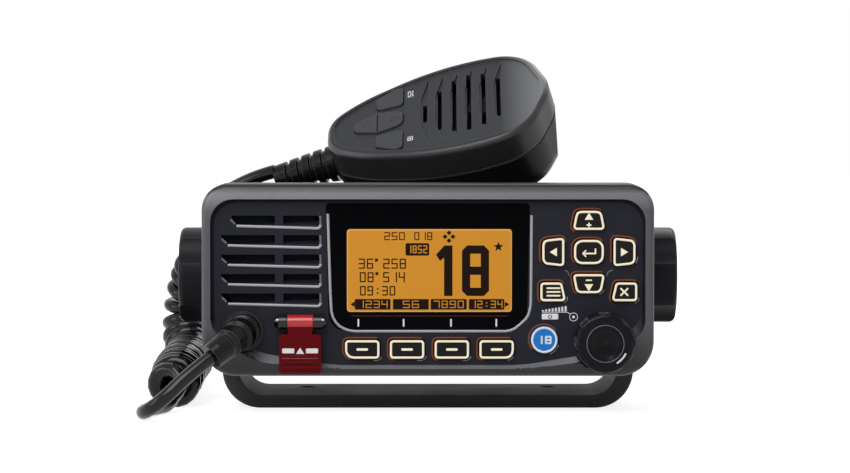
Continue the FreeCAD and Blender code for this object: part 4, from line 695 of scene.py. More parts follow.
def make_finishes():
    """Every finish of the radio, by the name of what it covers."""
    colours = bpy.context.scene.radio_colours
    add_finish("frame_plastic", tuple(colours.frame), 0.33, 0.42, 3200, 90, 0.016,
               (0.1, 0.102, 0.113), 0.5, 0.34)
    add_finish("recess_plastic", tuple(colours.recess), 0.42, 0.52, 3600, 120, 0.01,
               (0.03, 0.031, 0.037), 0.3, 0.14)
    ink = tuple(colours.ink)
    add_finish("screen_ink", ink, 0.4, 0.5, 2500, 60, 0.02, ink, 0.3, 0.05)
    add_lit_finish("ring_glow", tuple(colours.ring), 0.45)
    add_lit_finish("screen_glow", tuple(colours.screen), 0.47, 0.5, 0.35, 0.05)
    for row in PLAIN_FINISHES:
        add_finish(*row)
    for row in METAL_FINISHES:
        shader = add_finish(*row).node_tree.nodes["Principled BSDF"]
        shader.inputs["Metallic"].default_value = 1.0
    for row in LIT_FINISHES:
        add_lit_finish(*row)
    add_crown("frame_plastic", PANEL_MIDDLE, 15 * MM, 11.0)
    low, high = PANEL_LOW.z, PANEL_HIGH.z
    # Painted shade: the frame darkens towards its foot.
    add_fade("frame_plastic", "Z", PANEL_MIDDLE - 16 * MM, low + 4 * MM, (0.016, 0.0165, 0.019))
    # Painted highlight: a paler band below the top edge.
    add_fade("frame_plastic", "Z", high - 9 * MM, high - 5 * MM, (0.125, 0.127, 0.137))
    # Painted shade: a dark strip along the top edge.
    add_fade("frame_plastic", "Z", high - 3.2 * MM, high - 1.8 * MM, (0.028, 0.0285, 0.032))
    # Painted shade: the lit slope darkens beyond 56 mm to either side.
    add_fade("frame_slope", "X", 56 * MM, 68 * MM, (0.012, 0.0123, 0.0145), mirrored=True)
    # The shoulder's painted highlight fades into the skirt's colour towards the right.
    add_fade("mic_shoulder", "X", -38 * MM, -14 * MM, (0.022, 0.022, 0.0236))
    # Painted sheen: the face grows lighter towards its right end.
    add_fade("mic_face", "X", 26 * MM, 44 * MM, (0.2, 0.203, 0.212))


NODE_FINISHES = {
    "frame_plastic": ["front_panel"],
    "window_gloss": ["display_window"],
    "hinge_gloss": ["distress_hinge_pin"],
    "dark_inside": ["mic_board", "mic_element"],
    "screen_glow": ["lcd_module"],
    "mesh_cloth": ["speaker_mesh"],
    "component": ["speaker", "encoder_body", "power_amplifier", "position_receiver"],
    "silicone": ["keypad_mat", "panel_gasket"],
    "seam_line": ["mic_seam_gasket"],
    "circuit_board": ["control_board", "main_board"],
    "nickel": ["encoder_shaft", "shield_can", "antenna_socket"],
    "knob_plastic": ["volume_knob"],
    "black_rubber": ["mic_lead_boot", "friction_washers", "power_lead_gland", "mic_boot"],
    "grip_rubber": ["bracket_knob_left", "bracket_knob_right"],
    "key_plastic": [key for key in KEYS_RINGED if key != "key_16"],
    "blue_plastic": ["key_16"],
    "red_plastic": ["distress_key"],
    "cover_red": ["distress_cover"],
    "steel": ["chassis_screws", "knob_bolt_left", "knob_bolt_right",
              "mic_shell_screws", "mic_hanger_button"],
    "cast_black": ["chassis"],
    "brass": ["side_inserts"],
    "ribbon": ["ribbon_cable"],
    "bracket_plastic": ["mounting_bracket"],
    "mic_skirt": ["mic_front_shell", "mic_ptt_button"],
    "mic_back": ["mic_rear_shell"],
    "mic_keys": MIC_KEYS,
    "cord_jacket": ["cord_lead_panel", "cord_coil", "cord_coil_hanging", "cord_lead_mic"],
}


def paint_faces(node, finishes, chooser):
    """Gives a node several finishes, picked for each face by its corners and normal."""
    mesh = NODES[node].data
    mesh.materials.clear()
    for name in finishes:
        mesh.materials.append(FINISHES[name])
    for face in mesh.polygons:
        face.material_index = chooser([mesh.vertices[k].co for k in face.vertices], face.normal)


# ---------------------------------------------------------------- stage


class RADIO_OT_make_stage(bpy.types.Operator):
    """Makes the pale floor, the white surroundings, soft lamps and the camera"""

    bl_idname = "radio.make_stage"
    bl_label = "Make Stage"

    # Where each lamp stands, its side and the point that it faces.
    LAMPS = {"key": ((-0.35, -0.80, 0.90), 0.8, (0, 0, 0.05)),
             "fill": ((-1.3, -0.5, 0.4), 0.6, (0, 0, 0.05)),
             "rim": ((0.30, 0.80, 0.90), 0.6, (0, 0, 0.06))}
    CAMERA_PLACE, CAMERA_TILT, SENSOR_WIDTH = (-0.001, -1.150, 0.110), 87.5, 36
    FLOOR_HALF = 3.0
    # The floor shows a little darker from the object's middle to the first distance, white past the second.
    NEAR, NEAR_GLOW, FAR, FAR_GLOW = 0.15, 0.84, 0.8, 1.0
    WORLD_LIGHT, WORLD_SHOWN = 0.3, 1.0

    def execute(self, context):
        stage = context.scene.radio_stage
        self.make_floor()
        self.make_world(context)
        for name, (place, side, target) in self.LAMPS.items():
            self.make_lamp(name + "_lamp", getattr(stage, name + "_power"), place, side, target)
        self.make_camera(context, stage.lens)
        context.scene.view_settings.view_transform = "Standard"
        return {"FINISHED"}

    def rays(self, tree):
        """1 for rays from the camera, from gloss and through glass, 0 for light that falls on things."""
        path = tree.nodes.new("ShaderNodeLightPath").outputs
        return computed(tree, path["Is Camera Ray"], ("MAXIMUM", path["Is Glossy Ray"]),
                        ("MAXIMUM", path["Is Transmission Ray"]))

    def make_floor(self):
        """A pale floor that shows white, apart from the object's soft shadow."""
        half = self.FLOOR_HALF
        floor = mesh_object("floor", [(-half, -half, 0), (half, -half, 0), (half, half, 0), (-half, half, 0)],
                            faces=[(0, 1, 2, 3)], finish="floor_pale")
        tree = FINISHES["floor_pale"].node_tree
        shader = tree.nodes["Principled BSDF"]
        place = tree.nodes.new("ShaderNodeTexCoord")
        reach = tree.nodes.new("ShaderNodeVectorMath")
        reach.operation = "LENGTH"
        tree.links.new(place.outputs["Object"], reach.inputs[0])
        spread = node_at(tree, "ShaderNodeMapRange", Value=reach.outputs["Value"], From_Min=self.NEAR,
                         From_Max=self.FAR, To_Min=self.NEAR_GLOW, To_Max=self.FAR_GLOW)
        glow = computed(tree, spread.outputs[0], ("MULTIPLY", self.rays(tree)))
        shader.inputs["Emission Color"].default_value = (1, 1, 1, 1)
        tree.links.new(glow, shader.inputs["Emission Strength"])

    def make_world(self, context):
        """White to the camera and in reflections, a plain dim light otherwise."""
        world = bpy.data.worlds.new("surroundings")
        context.scene.world = world
        world.use_nodes = True
        tree = world.node_tree
        background = tree.nodes["Background"]
        background.inputs["Color"].default_value = (1, 1, 1, 1)
        strength = node_at(tree, "ShaderNodeMapRange", Value=self.rays(tree), To_Min=self.WORLD_LIGHT,
                           To_Max=self.WORLD_SHOWN)
        tree.links.new(strength.outputs[0], background.inputs["Strength"])

    def make_lamp(self, name, power, place, side, target):
        """A square area lamp that faces a point."""
        data = bpy.data.lights.new(name, "AREA")
        data.energy = power
        data.size = side
        lamp = link(bpy.data.objects.new(name, data))
        lamp.location = place
        lamp.rotation_euler = (Vector(target) - Vector(place)).to_track_quat("-Z", "Y").to_euler()

    def make_camera(self, context, lens):
        """The camera, a little above the panel's middle."""
        data = bpy.data.cameras.new("camera")
        data.lens = lens
        data.sensor_width = self.SENSOR_WIDTH
        camera = link(bpy.data.objects.new("camera", data))
        camera.location = self.CAMERA_PLACE
        camera.rotation_euler = (math.radians(self.CAMERA_TILT), 0, 0)
        context.scene.camera = camera


# ---------------------------------------------------------------- cord

# The way of the cord's middle from boot to boot, and the places where its coil starts and ends.
CORD_ROUTE = [
    (-0.0736, -0.0686, 0.0218), (-0.0815, -0.0732, 0.0158), (-0.0902, -0.0768, 0.0072),
    (-0.0968, -0.0708, 0.0028), (-0.0976, -0.0600, 0.0026), (-0.0940, -0.0500, 0.0026),
    (-0.0905, -0.0430, 0.0028), (-0.0893, -0.0360, 0.0050), (-0.0897, -0.0270, 0.0094),
    (-0.0905, 0.0020, 0.0097), (-0.0915, 0.0320, 0.0097), (-0.0915, 0.0620, 0.0097),
    (-0.0915, 0.0790, 0.0100), (-0.0940, 0.0925, 0.0175), (-0.0945, 0.0955, 0.0310),
    (-0.0885, 0.0915, 0.0450), (-0.0845, 0.0770, 0.0570), (-0.0825, 0.0625, 0.0640),
    (-0.0805, 0.0480, 0.0690), (-0.0785, 0.0385, 0.0722), (-0.0740, 0.0305, 0.0755),
    (-0.0634, 0.0247, 0.0808), (-0.0561, 0.0225, 0.0828),
]
COIL_FROM = (-0.0895, -0.0380, 0.0045)
COIL_TO = (-0.0850, 0.0800, 0.0550)
# Points of the wire in one turn of the coil, the step where it runs straight, where the first turn starts.
TURN_POINTS = 20
LEAD_STEP = 1.6 * MM
FIRST_ANGLE = -90
# The turns vary a little in width and in pitch: by what share, and how fast along the route.
WIDTH_SHARE, WIDTH_RATE = 0.05, 260
PITCH_SHARE, PITCH_RATE = 0.12, 190
# The pitch is longer where the coil opens, and over its first stretch of so many ramps.
OPEN_STRETCH, FIRST_STRETCH, FIRST_RAMPS = 5, 0.9, 4


def route_line(control, steps=24):
    """Points along the smooth spline that a list of control points gives."""
    curve = bpy.data.curves.new("route", "CURVE")
    curve.dimensions = "3D"
    spline = curve.splines.new("NURBS")
    spline.points.add(len(control) - 1)
    for point, place in zip(spline.points, control):
        point.co = (*place, 1)
    spline.order_u = 3
    spline.use_endpoint_u = True
    spline.resolution_u = steps
    obj = link(bpy.data.objects.new("route", curve))
    bpy.context.view_layer.update()
    mesh = bpy.data.meshes.new_from_object(obj)
    line = [v.co.copy() for v in mesh.vertices]
    bpy.data.objects.remove(obj)
    return line


def frames_along(line):
    """For each point of a line its distance from the start, and two axes across it that don't twist."""
    distances, across = [0.0], []
    side = Vector((0, 0, 1)).cross((line[1] - line[0]).normalized()).normalized()
    for k, point in enumerate(line):
        ahead = line[min(k + 1, len(line) - 1)] - line[max(k - 1, 0)]
        ahead.normalize()
        side = (side - ahead * side.dot(ahead)).normalized()
        across.append((side.copy(), ahead.cross(side)))
        if k:
            distances.append(distances[-1] + (point - line[k - 1]).length)
    return distances, across


def along(line, distances, across, distance):
    """The point and the axes across the line at a distance from its start."""
    k = 0
    while k < len(line) - 2 and distances[k + 1] < distance:
        k += 1
    share = (distance - distances[k]) / (distances[k + 1] - distances[k])
    side = across[k][0].lerp(across[k + 1][0], share).normalized()
    other = across[k][1].lerp(across[k + 1][1], share).normalized()
    return line[k].lerp(line[k + 1], share), side, other


def curly_line(line, start, end, radius, pitch, ramp, floor):
    """A line that follows its route, winds round it between two distances and rests on the floor."""
    distances, across = frames_along(line)
    made, distance, angle = [], 0.0, math.radians(FIRST_ANGLE)
    while distance < distances[-1] - LEAD_STEP / 2:
        centre, side, other = along(line, distances, across, distance)
        opened = max(0.0, min(1.0, (distance - start) / ramp, (end - distance) / ramp))
        opened = opened * opened * (3 - 2 * opened)
        reach = radius * opened * (1 + WIDTH_SHARE * math.sin(distance * WIDTH_RATE))
        point = centre + (side * math.cos(angle) + other * math.sin(angle)) * reach
        point.z = max(point.z, floor)
        made.append(point)
        if start < distance < end:
            first = max(0.0, 1 - (distance - start) / (FIRST_RAMPS * ramp))
            stretch = 1 + OPEN_STRETCH * (1 - opened) + FIRST_STRETCH * first
            varied = pitch * (1 + PITCH_SHARE * math.sin(distance * PITCH_RATE))
            distance += varied * stretch / TURN_POINTS
            angle -= 2 * math.pi / TURN_POINTS
        else:
            distance += LEAD_STEP
    made.append(line[-1].copy())
    return made


def tube(name, line, radius, finish, ring=12):
    """A closed tube of a radius round a line."""
    _, across = frames_along(line)
    points, faces = [], []
    for centre, (side, other) in zip(line, across):
        for k in range(ring):
            angle = 2 * math.pi * k / ring
            points.append(centre + (side * math.cos(angle) + other * math.sin(angle)) * radius)
    for n in range(len(line) - 1):
        for k in range(ring):
            a, b = n * ring + k, n * ring + (k + 1) % ring
            faces.append((a, b, b + ring, a + ring))
    faces.append(tuple(reversed(range(ring))))
    last = (len(line) - 1) * ring
    faces.append(tuple(range(last, last + ring)))
    return smooth(outward(mesh_object(name, points, faces, finish=finish)))


class RADIO_OT_make_cord(bpy.types.Operator):
    """Makes the curly cord from the boot on the panel to the boot of the microphone"""

    bl_idname = "radio.make_cord"
    bl_label = "Make Cord"

    def execute(self, context):
        cord = context.scene.radio_cord
        line = route_line(CORD_ROUTE)
        distances, _ = frames_along(line)
        nearest = [min(range(len(line)), key=lambda k: (line[k] - Vector(p)).length)
                   for p in (COIL_FROM, COIL_TO)]
        wire = curly_line(line, distances[nearest[0]], distances[nearest[1]], cord.helix, cord.pitch,
                          cord.ramp, cord.diameter / 2)
        lead = tube("curly_cord", wire, cord.diameter / 2, "cord_jacket")
        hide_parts("cord_lead_panel", "cord_coil", "cord_coil_hanging", "cord_lead_mic")
        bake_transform(lead)
        return {"FINISHED"}


# ---------------------------------------------------------------- finishes of the frame


class RADIO_OT_paint_frame(bpy.types.Operator):
    """Gives every solid of the frame its finish"""

    bl_idname = "radio.paint_frame"
    bl_label = "Paint Frame"

    def execute(self, context):
        for name, nodes in NODE_FINISHES.items():
            for node in nodes:
                paint_faces(node, [name], lambda corners, normal: 0)
        self.paint_panel()
        self.paint_cover()
        self.paint_microphone()
        return {"FINISHED"}

    # The panel's frame, how deep its sunk face and its outer walls begin, and the lean of its faces.
    FRAME_WIDTH, SUNK_FROM, WALLS_FROM = 2.5 * MM, 0.4 * MM, 4 * MM
    SLOPE_LEAN, TOP_LEAN, FACING = 0.25, 0.5, -0.3
    # The lid's round barrel.
    BARREL, BARREL_SLACK = 2.5 * MM, 0.02 * MM
    # The microphone's upper part, the lean of its face and shoulder, and the shoulder's end.
    MIC_UPPER, FACE_LEAN, SHOULDER_LEAN, SHOULDER_END = 7 * MM, 0.93, 0.3, -8 * MM

    def paint_panel(self):
        """The sunk face is darker than the frame; its outer walls and faces that look up are painted darker as
        painted shade, and the slope below the keys paler as a painted highlight.
        """
        half_width = (PANEL_HIGH.x - PANEL_LOW.x) / 2
        half_height = (PANEL_HIGH.z - PANEL_LOW.z) / 2

        def part_of(corners, normal):
            middle = sum(corners, Vector()) / len(corners)
            aside, above = half_width - abs(middle.x), half_height - abs(middle.z - PANEL_MIDDLE)
            depth = middle.y - FRONT_Y
            if min(aside, above) > self.FRAME_WIDTH and depth > self.SUNK_FROM:
                slope = normal.z > self.SLOPE_LEAN and normal.y < self.FACING and middle.z < PANEL_MIDDLE
                return 3 if slope else 1
            return 2 if normal.y > self.FACING or depth > self.WALLS_FROM or normal.z > self.TOP_LEAN else 0

        paint_faces("front_panel", ["frame_plastic", "recess_plastic", "frame_side", "frame_slope"], part_of)

    def paint_cover(self):
        """The lid is deep red; its barrel gets a brighter copy of the red, a painted highlight."""
        low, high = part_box("distress_cover")
        axis = (high.y - self.BARREL, high.z - self.BARREL)

        def part_of(corners, normal):
            return int(all(math.dist((c.y, c.z), axis) < self.BARREL + self.BARREL_SLACK for c in corners))

        paint_faces("distress_cover", ["cover_red", "cover_bright"], part_of)

    def paint_microphone(self):
        """The case's face is paler than its skirt; its shoulder is painted paler too, a painted highlight
        where it leans up.
        """
        turned = MIC_PLACE.to_3x3().inverted()
        inside = MIC_PLACE.inverted()

        def part_of(corners, normal):
            lean = (turned @ normal).z
            middle = inside @ (sum(corners, Vector()) / len(corners))
            if middle.z <= self.MIC_UPPER:
                return 0
            if lean > self.FACE_LEAN:
                return 1
            return 2 if lean > self.SHOULDER_LEAN and middle.x < self.SHOULDER_END else 0

        paint_faces("mic_front_shell", ["mic_skirt", "mic_face", "mic_shoulder"], part_of)


# ---------------------------------------------------------------- display


class RADIO_OT_make_display(bpy.types.Operator):
    """Makes the lit screen with plain numerals, and the marks on its window"""

    bl_idname = "radio.make_display"
    bl_label = "Make Display"

    # All sizes here are millimetres. First the screen's size, its rim and its middle.
    WIDTH, HEIGHT, RIM, MIDDLE = 57.1, 28.7, 0.45, (0.5, 3.26)
    # How thick the lit sheet and the ink on it are.
    SHEET, INK = 0.05, 0.04
    # Rows of small numerals: the text, its left, low, width and height, and the stroke.
    ROWS = [("250", (-15.1, 13.8, 7.1, 2.75), 0.34), ("018", (-4.7, 13.8, 6.2, 2.75), 0.34),
            ("36°258", (-24.0, 3.9, 16.4, 3.5), 0.42), ("08°514", (-23.6, -0.8, 15.6, 3.5), 0.42),
            ("09:30", (-23.5, -5.4, 12.2, 3.3), 0.42)]
    # The large number: a one, and an eight by its left, low, width, height, stroke and cut corners.
    ONE = [(2.84, 8.75), (5.7, 11.95), (8.5, 11.95), (8.5, -5.55), (5.6, -5.55), (5.6, 7.7), (4.2, 6.6)]
    EIGHT = (11.8, -5.55, 9.35, 17.5, 2.85, 0.62)
    STAR_AT, STAR_REACH = (24.4, 11.5), (1.8, 0.75)
    # Dark fields along the foot: the text, the left edge, the width and the margin beside the text.
    FIELDS = [("1234", -25.3, 12.35, 1.0), ("56", -12.1, 12.4, 3.4), ("7890", 0.95, 12.5, 1.0),
              ("12:34", 14.2, 12.25, 0.6)]
    FIELD_ROW, FIELD_HIGH, FIELD_TEXT = -8.45, 3.65, 2.6
    ICON_AT, ICON_STEP, ICON_HALF = (7.3, 15.0), 1.35, 0.85
    TICKS, TICK_ROW = (-24.1, -8.4, 8.0, 23.7), -14.87

    def execute(self, context):
        place = drawing_place(WINDOW_Y - SKIN)
        rim = slab("screen_rim", rounded_box(self.WIDTH, self.HEIGHT, 1.1, self.MIDDLE), 0.02,
                   "screen_rim", place)
        sheet = rounded_box(self.WIDTH - 2 * self.RIM, self.HEIGHT - 2 * self.RIM, 0.8, self.MIDDLE)
        lit = slab("screen", sheet, self.SHEET, "screen_glow", place)
        ink_place = place @ Matrix.Translation((0, 0, self.SHEET))
        screen = joined("lit_screen", [rim, lit] + self.numbers(ink_place) + self.fields(ink_place))
        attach(screen, body_name("display_window"))
        marks = self.window_marks(place)
        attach(marks, body_name("display_window"))
        return {"FINISHED"}

    def inked(self, name, outline, place):
        """One dark shape on the screen."""
        return slab(name, outline, self.INK, "screen_ink", place)

    def numbers(self, place):
        """The small rows, the large channel number and a star."""
        made = [numerals(f"row_{k}", text, box, stroke, "screen_ink", place, self.INK)
                for k, (text, box, stroke) in enumerate(self.ROWS)]
        made.append(raised("channel", numeral("8", *self.EIGHT), self.INK, "screen_ink", place))
        made.append(self.inked("channel_one", self.ONE, place))
        star = [arc_points(self.STAR_REACH[k % 2], [90 + 36 * k], self.STAR_AT)[0] for k in range(10)]
        made.append(self.inked("star", star, place))
        return made

    def fields(self, place):
        """Four dark fields along the lower edge, one in the middle, an arrow at each end and an icon."""
        top = place @ Matrix.Translation((0, 0, self.INK))
        made = []
        for k, (text, left, wide, margin) in enumerate(self.FIELDS):
            outline = rounded_box(wide, self.FIELD_HIGH, 0.35, (left + wide / 2, self.FIELD_ROW))
            box = (left + margin, self.FIELD_ROW - self.FIELD_TEXT / 2, wide - 2 * margin, self.FIELD_TEXT)
            made.append(self.inked(f"field_{k}", outline, place))
            made.append(numerals(f"field_sign_{k}", text, box, 0.34, "screen_glow", top))
        made.append(self.inked("field_middle", rounded_box(8.2, 4.3, 0.6, (-3.65, 10.6)), place))
        made.append(numerals("field_middle_sign", "1852", (-7.1, 9.2, 6.9, 2.8), 0.4, "screen_glow", top))
        for side in (-1, 1):
            foot, tip = side * 26.0 + 0.65, side * 27.5 + 0.7
            arrow = [(foot, -7.5), (foot, -9.4), (tip, self.FIELD_ROW)]
            made.append(self.inked("arrow", arrow if side < 0 else arrow[::-1], place))
        for k, at in enumerate(arc_points(self.ICON_STEP, (90, 270, 0, 180), self.ICON_AT)):
            made.append(self.inked(f"icon_{k}", arc_points(self.ICON_HALF, (0, 90, 180, 270), at), place))
        return made

    def window_marks(self, place):
        """A white tick over each softkey, and the fine line under the screen."""
        made = [slab(f"tick_{k}", rounded_box(0.55, 2.7, 0.2, (u, self.TICK_ROW)), 0.03,
                     "white_print", place) for k, u in enumerate(self.TICKS)]
        made.append(slab("under_line", rounded_box(54.3, 0.22, 0.1, (0.6, -12.5)), 0.03,
                         "screen_line", place))
        return joined("window_marks", made)


# ---------------------------------------------------------------- keys


class RADIO_OT_make_key_rings(bpy.types.Operator):
    """Makes the lit ring and the sign on each key, and the painted glow and painted glint beside it"""

    bl_idname = "radio.make_key_rings"
    bl_label = "Make Key Rings"

    RING_POINTS, RING_INSET = 96, 0.1 * MM
    # The warm line beside a key, a painted glow: from which angle to which, and how far it is moved.
    HALO_FROM, HALO_TO, HALO_SHIFT = 35, 222, (-0.2 * MM, 0.12 * MM)
    # The glint of the hole's edge: its angles, its distance from the key, its width, the keys without one.
    GLINT_FROM, ROUND_GLINT_FROM, GLINT_TO = 312, 290, 340
    GLINT_GAP, GLINT_WIDTH, WITHOUT_GLINT = 1.05 * MM, 0.36 * MM, ("key_up", "key_left", "key_enter")
    LINE_HEIGHT, LINE_SUNK = 0.08 * MM, 0.01 * MM
    # The signs in millimetres: an arrow that looks right, with its turn and place on each key,
    ARROW = [(1.25, 0), (-1.25, 1.5), (-1.25, -1.5)]
    ARROWS = {"key_up": (90, (0, 1.45)), "key_down": (-90, (0, -1.4)), "key_left": (180, (0, 0)),
              "key_right": (0, (0, 0))}
    # and bars, by their length, thickness, turn and place. Each is a step higher than the one before.
    BARS = {"key_up": [(1.7, 0.5, 0, (0, -1.6)), (1.7, 0.5, 90, (0, -1.6))],
            "key_down": [(2.2, 0.5, 0, (0, 1.2))],
            "key_menu": [(4.8, 0.55, 0, (0, v)) for v in (-1.3, 0, 1.3)],
            "key_enter": [(4.4, 0.55, 0, (0.3, -0.5)), (2.0, 0.55, 90, (2.25, 0.25)),
                          (1.7, 0.5, 45, (-1.55, 0.05)), (1.7, 0.5, -45, (-1.55, -1.05))],
            "key_clear": [(3.8, 0.6, turn, (0, 0)) for turn in (45, -45)],
            "softkey": [(4.0, 0.85, 0, (0, 0))]}
    SIGN_HEIGHT, SIGN_STEP = 0.05, 0.004

    def execute(self, context):
        face = context.scene.radio_face
        halos, glints = [], []
        for key in KEYS_RINGED:
            low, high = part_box(key)
            loop = resampled(front_outline(key), self.RING_POINTS)
            middle = ((low.x + high.x) / 2, (low.z + high.z) / 2 - PANEL_MIDDLE)
            round_key = key == "key_16"
            ring = bead(key + "_ring", [(grown(loop, -self.RING_INSET), True)], face.ring_width,
                        face.ring_height, "white_print" if round_key else "ring_glow",
                        panel_place(low.y))
            trim = joined(key + "_trim", [ring] + self.sign(key, drawing_place(low.y, *middle)))
            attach(trim, body_name(key))
            halos.append(self.stretch(loop, middle, face.halo_gap, self.HALO_FROM, self.HALO_TO,
                                      self.HALO_SHIFT))
            if key not in self.WITHOUT_GLINT:
                first = self.ROUND_GLINT_FROM if round_key else self.GLINT_FROM
                glints.append(self.stretch(loop, middle, self.GLINT_GAP, first, self.GLINT_TO, (0, 0)))
        # Both lines round the holes are painted light: a warm glow on the wall, a glint on the hole's edge.
        place = panel_place(FLOOR_Y - self.LINE_SUNK)
        warm = bead("halo_lines", halos, face.halo_width, self.LINE_HEIGHT, "halo_glow", place)
        light = bead("hole_glints", glints, self.GLINT_WIDTH, self.LINE_HEIGHT, "moulded_line", place)
        trim = joined("hole_lines", [warm, light])
        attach(trim, body_name("front_panel"))
        return {"FINISHED"}

    def stretch(self, loop, middle, gap, first, last, shift):
        """The open line round a key between two angles, as a bead takes it."""
        wide = grown(loop, gap)
        turned = [(math.degrees(math.atan2(p[1] - middle[1], p[0] - middle[0])) % 360, p) for p in wide]
        line = [(p[0] + shift[0], p[1] + shift[1]) for angle, p in sorted(turned) if first < angle < last]
        return line, False

    def sign(self, key, place):
        """A plain sign for a key: an arrow, bars, a hook, a cross, a dash or a number."""
        name = key + "_sign"
        if key == "key_16":
            return [numerals(name, "18", (-2.9, -1.45, 5.4, 2.9), 0.62, "white_print", place,
                             self.SIGN_HEIGHT, 0.35, 0.6)]
        outlines = [turned_at(self.ARROW, *self.ARROWS[key])] if key in self.ARROWS else []
        heights = [self.SIGN_HEIGHT] * len(outlines)
        bars = self.BARS.get("softkey" if key.startswith("softkey") else key, [])
        for k, (size, thick, turn, at) in enumerate(bars):
            outlines.append(turned_at(rounded_box(size, thick, thick * 0.4), turn, at))
            heights.append(self.SIGN_HEIGHT + self.SIGN_STEP * k)
        return [slab(f"{name}_{k}", outline, height, "ring_glow", place)
                for k, (outline, height) in enumerate(zip(outlines, heights))]


# ---------------------------------------------------------------- panel


class RADIO_OT_make_panel_trim(bpy.types.Operator):
    """Makes the painted highlights on the lips of the sound slots and on the window's chamfer, and the print
    by the knob
    """

    bl_idname = "radio.make_panel_trim"
    bl_label = "Make Panel Trim"

    # All sizes here are millimetres. The slots: how many, the first one's height, their spacing, their ends.
    SLOTS, TOP, PITCH = 5, 20.6, 6.75
    LEFT, TOP_LEFT, RIGHT = -69.2, -66.2, -37.1
    # A lip's painted highlight lies so far below its slot at its left and at its right end, where it turns up
    # in an arc.
    LIP_LEFT, LIP_RIGHT, LIP_TURN = 1.9, 2.72, 1.2
    # A sill: how deep it starts and ends, its foot, and its far edge at the left and at the right.
    SILL_NEAR, SILL_FAR, SILL_FOOT, SILL_LEFT, SILL_RIGHT = 0.05, 1.6, -1.72, -1.55, -0.25
    # The painted highlight down the window's sides and along its foot, and those of two ridges beside it.
    WINDOW_PATH = [(-34.6, 22.9), (-33.8, -3.5), (-33.4, -11.1), (-32.85, -13.0), (-31.9, -14.7),
                   (-30.7, -15.95), (-29.3, -16.8), (-27.4, -17.5), (-25.3, -17.8), (27.0, -17.8),
                   (28.7, -17.5), (30.2, -16.8), (32.2, -15.2), (33.9, -13.55), (34.8, -12.2),
                   (35.2, -10.8), (35.6, -8.8), (35.7, -6.6), (35.9, 22.4)]
    RIDGES = [[(47.2, 3.4), (48.1, 3.1), (48.7, 2.4), (48.9, 1.4)],
              [(61.9, 1.4), (62.2, 2.4), (62.9, 3.1), (64.0, 3.4)]]
    # The print by the knob: the first bar's foot, the power sign, the pointer and its leader.
    BARS, BAR_AT, BAR_STEP, PRINT = 8, (39.85, -10.7), 1.12, 0.03
    POWER_AT, POINTER_AT = (42.3, -12.75), (50.45, -12.85)
    LEADER = [(49.5, -11.9), (48.2, -11.2), (39.5, -11.2)]

    def execute(self, context):
        place = drawing_place(FLOOR_Y)
        lips, ends, sills = [], [], []
        for k in range(self.SLOTS):
            v = self.TOP - k * self.PITCH
            left = self.LEFT if k else self.TOP_LEFT
            foot, bend = v - self.LIP_RIGHT, self.RIGHT - self.LIP_TURN
            path = [(left, v - self.LIP_LEFT), (bend, foot)]
            path += arc_points(self.LIP_TURN, range(-75, 1, 15), (bend, foot + self.LIP_TURN))
            lips.append((path, False))
            ends.append(([path[-1], (self.RIGHT - 0.1, v + 1.6)], False))
            ends.append(([(left - 2.15, v + 0.3), (left - 0.45, v - 1.25)], False))
            sills.append((left + 2, v))
        width = context.scene.radio_face.lip_highlight_width / MM
        # The lips and the slots' ends are painted highlights: the light on their edges.
        bright = bead("slot_lips", lips, width, 0.3, "moulded_line", place)
        dim = bead("slot_ends", ends, width * 0.85, 0.28, "dim_line", place)
        trim = joined("slot_trim", [bright, dim, self.sills(sills)])
        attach(trim, body_name("front_panel"))
        self.window_line(place)
        self.knob_print(place)
        return {"FINISHED"}

    def sills(self, starts):
        """The slanted lower wall that shows in each slot, deeper towards its right end."""
        near, far, foot, right = self.SILL_NEAR, self.SILL_FAR, self.SILL_FOOT, self.RIGHT - 0.3
        points, faces = [], []
        for left, v in starts:
            first = len(points)
            for x, y, z in [(left, near, foot), (right, near, foot), (right, far, self.SILL_RIGHT),
                            (left, far, self.SILL_LEFT), (right, far, foot), (left, far, foot)]:
                points.append((x * MM, FLOOR_Y + y * MM, PANEL_MIDDLE + (v + z) * MM))
            faces += [tuple(first + n for n in face) for face in
                      ((0, 1, 2, 3), (0, 5, 4, 1), (3, 2, 4, 5), (1, 4, 2), (0, 3, 5))]
        return outward(mesh_object("slot_sills", points, faces, finish="recess_plastic"))

    def window_line(self, place):
        """A painted highlight on the chamfer down both sides of the window, round its lower corners and along
        its foot, and on two ridges beside it.
        """
        line = bead("window_line", [(self.WINDOW_PATH, False)], 0.95, 0.32, "moulded_line", place)
        ridges = bead("pad_ridges", [(arc, False) for arc in self.RIDGES], 0.4, 0.1, "dim_line", place)
        trim = joined("window_trim", [line, ridges])
        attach(trim, body_name("front_panel"))

    def knob_print(self, place):
        """White print by the knob: rising bars, a power sign on a white field, a pointer with its leader."""

        def printed(name, width, height, radius, middle):
            return slab(name, rounded_box(width, height, radius, middle), self.PRINT, "white_print", place)

        u, v = self.BAR_AT
        parts = [printed(f"bar_{k}", 0.7, 0.5 + 0.2 * k, 0.1, (u + self.BAR_STEP * k, v + 0.1 * k))
                 for k in range(self.BARS)]
        u, v = self.POWER_AT
        parts.append(printed("power_field", 5.7, 2.0, 0.3, (u, v + 0.08)))
        arc = arc_points(0.6, range(50, -231, -20), self.POWER_AT)
        parts.append(bead("power_arc", [(arc, False), ([(u, v + 0.15), (u, v + 0.8)], False)], 0.24, 0.02,
                          "screen_ink", place @ Matrix.Translation((0, 0, self.PRINT + 0.005))))
        ring = arc_points(1.4, range(0, 360, 15), self.POINTER_AT)
        parts.append(bead("pointer", [(ring, True), (self.LEADER, False)], 0.27, self.PRINT, "white_print",
                          place))
        parts.append(printed("pointer_dot", 1.0, 1.0, 0.49, self.POINTER_AT))
        made = joined("knob_print", parts)
        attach(made, body_name("front_panel"))


# ---------------------------------------------------------------- cover, knob and microphone


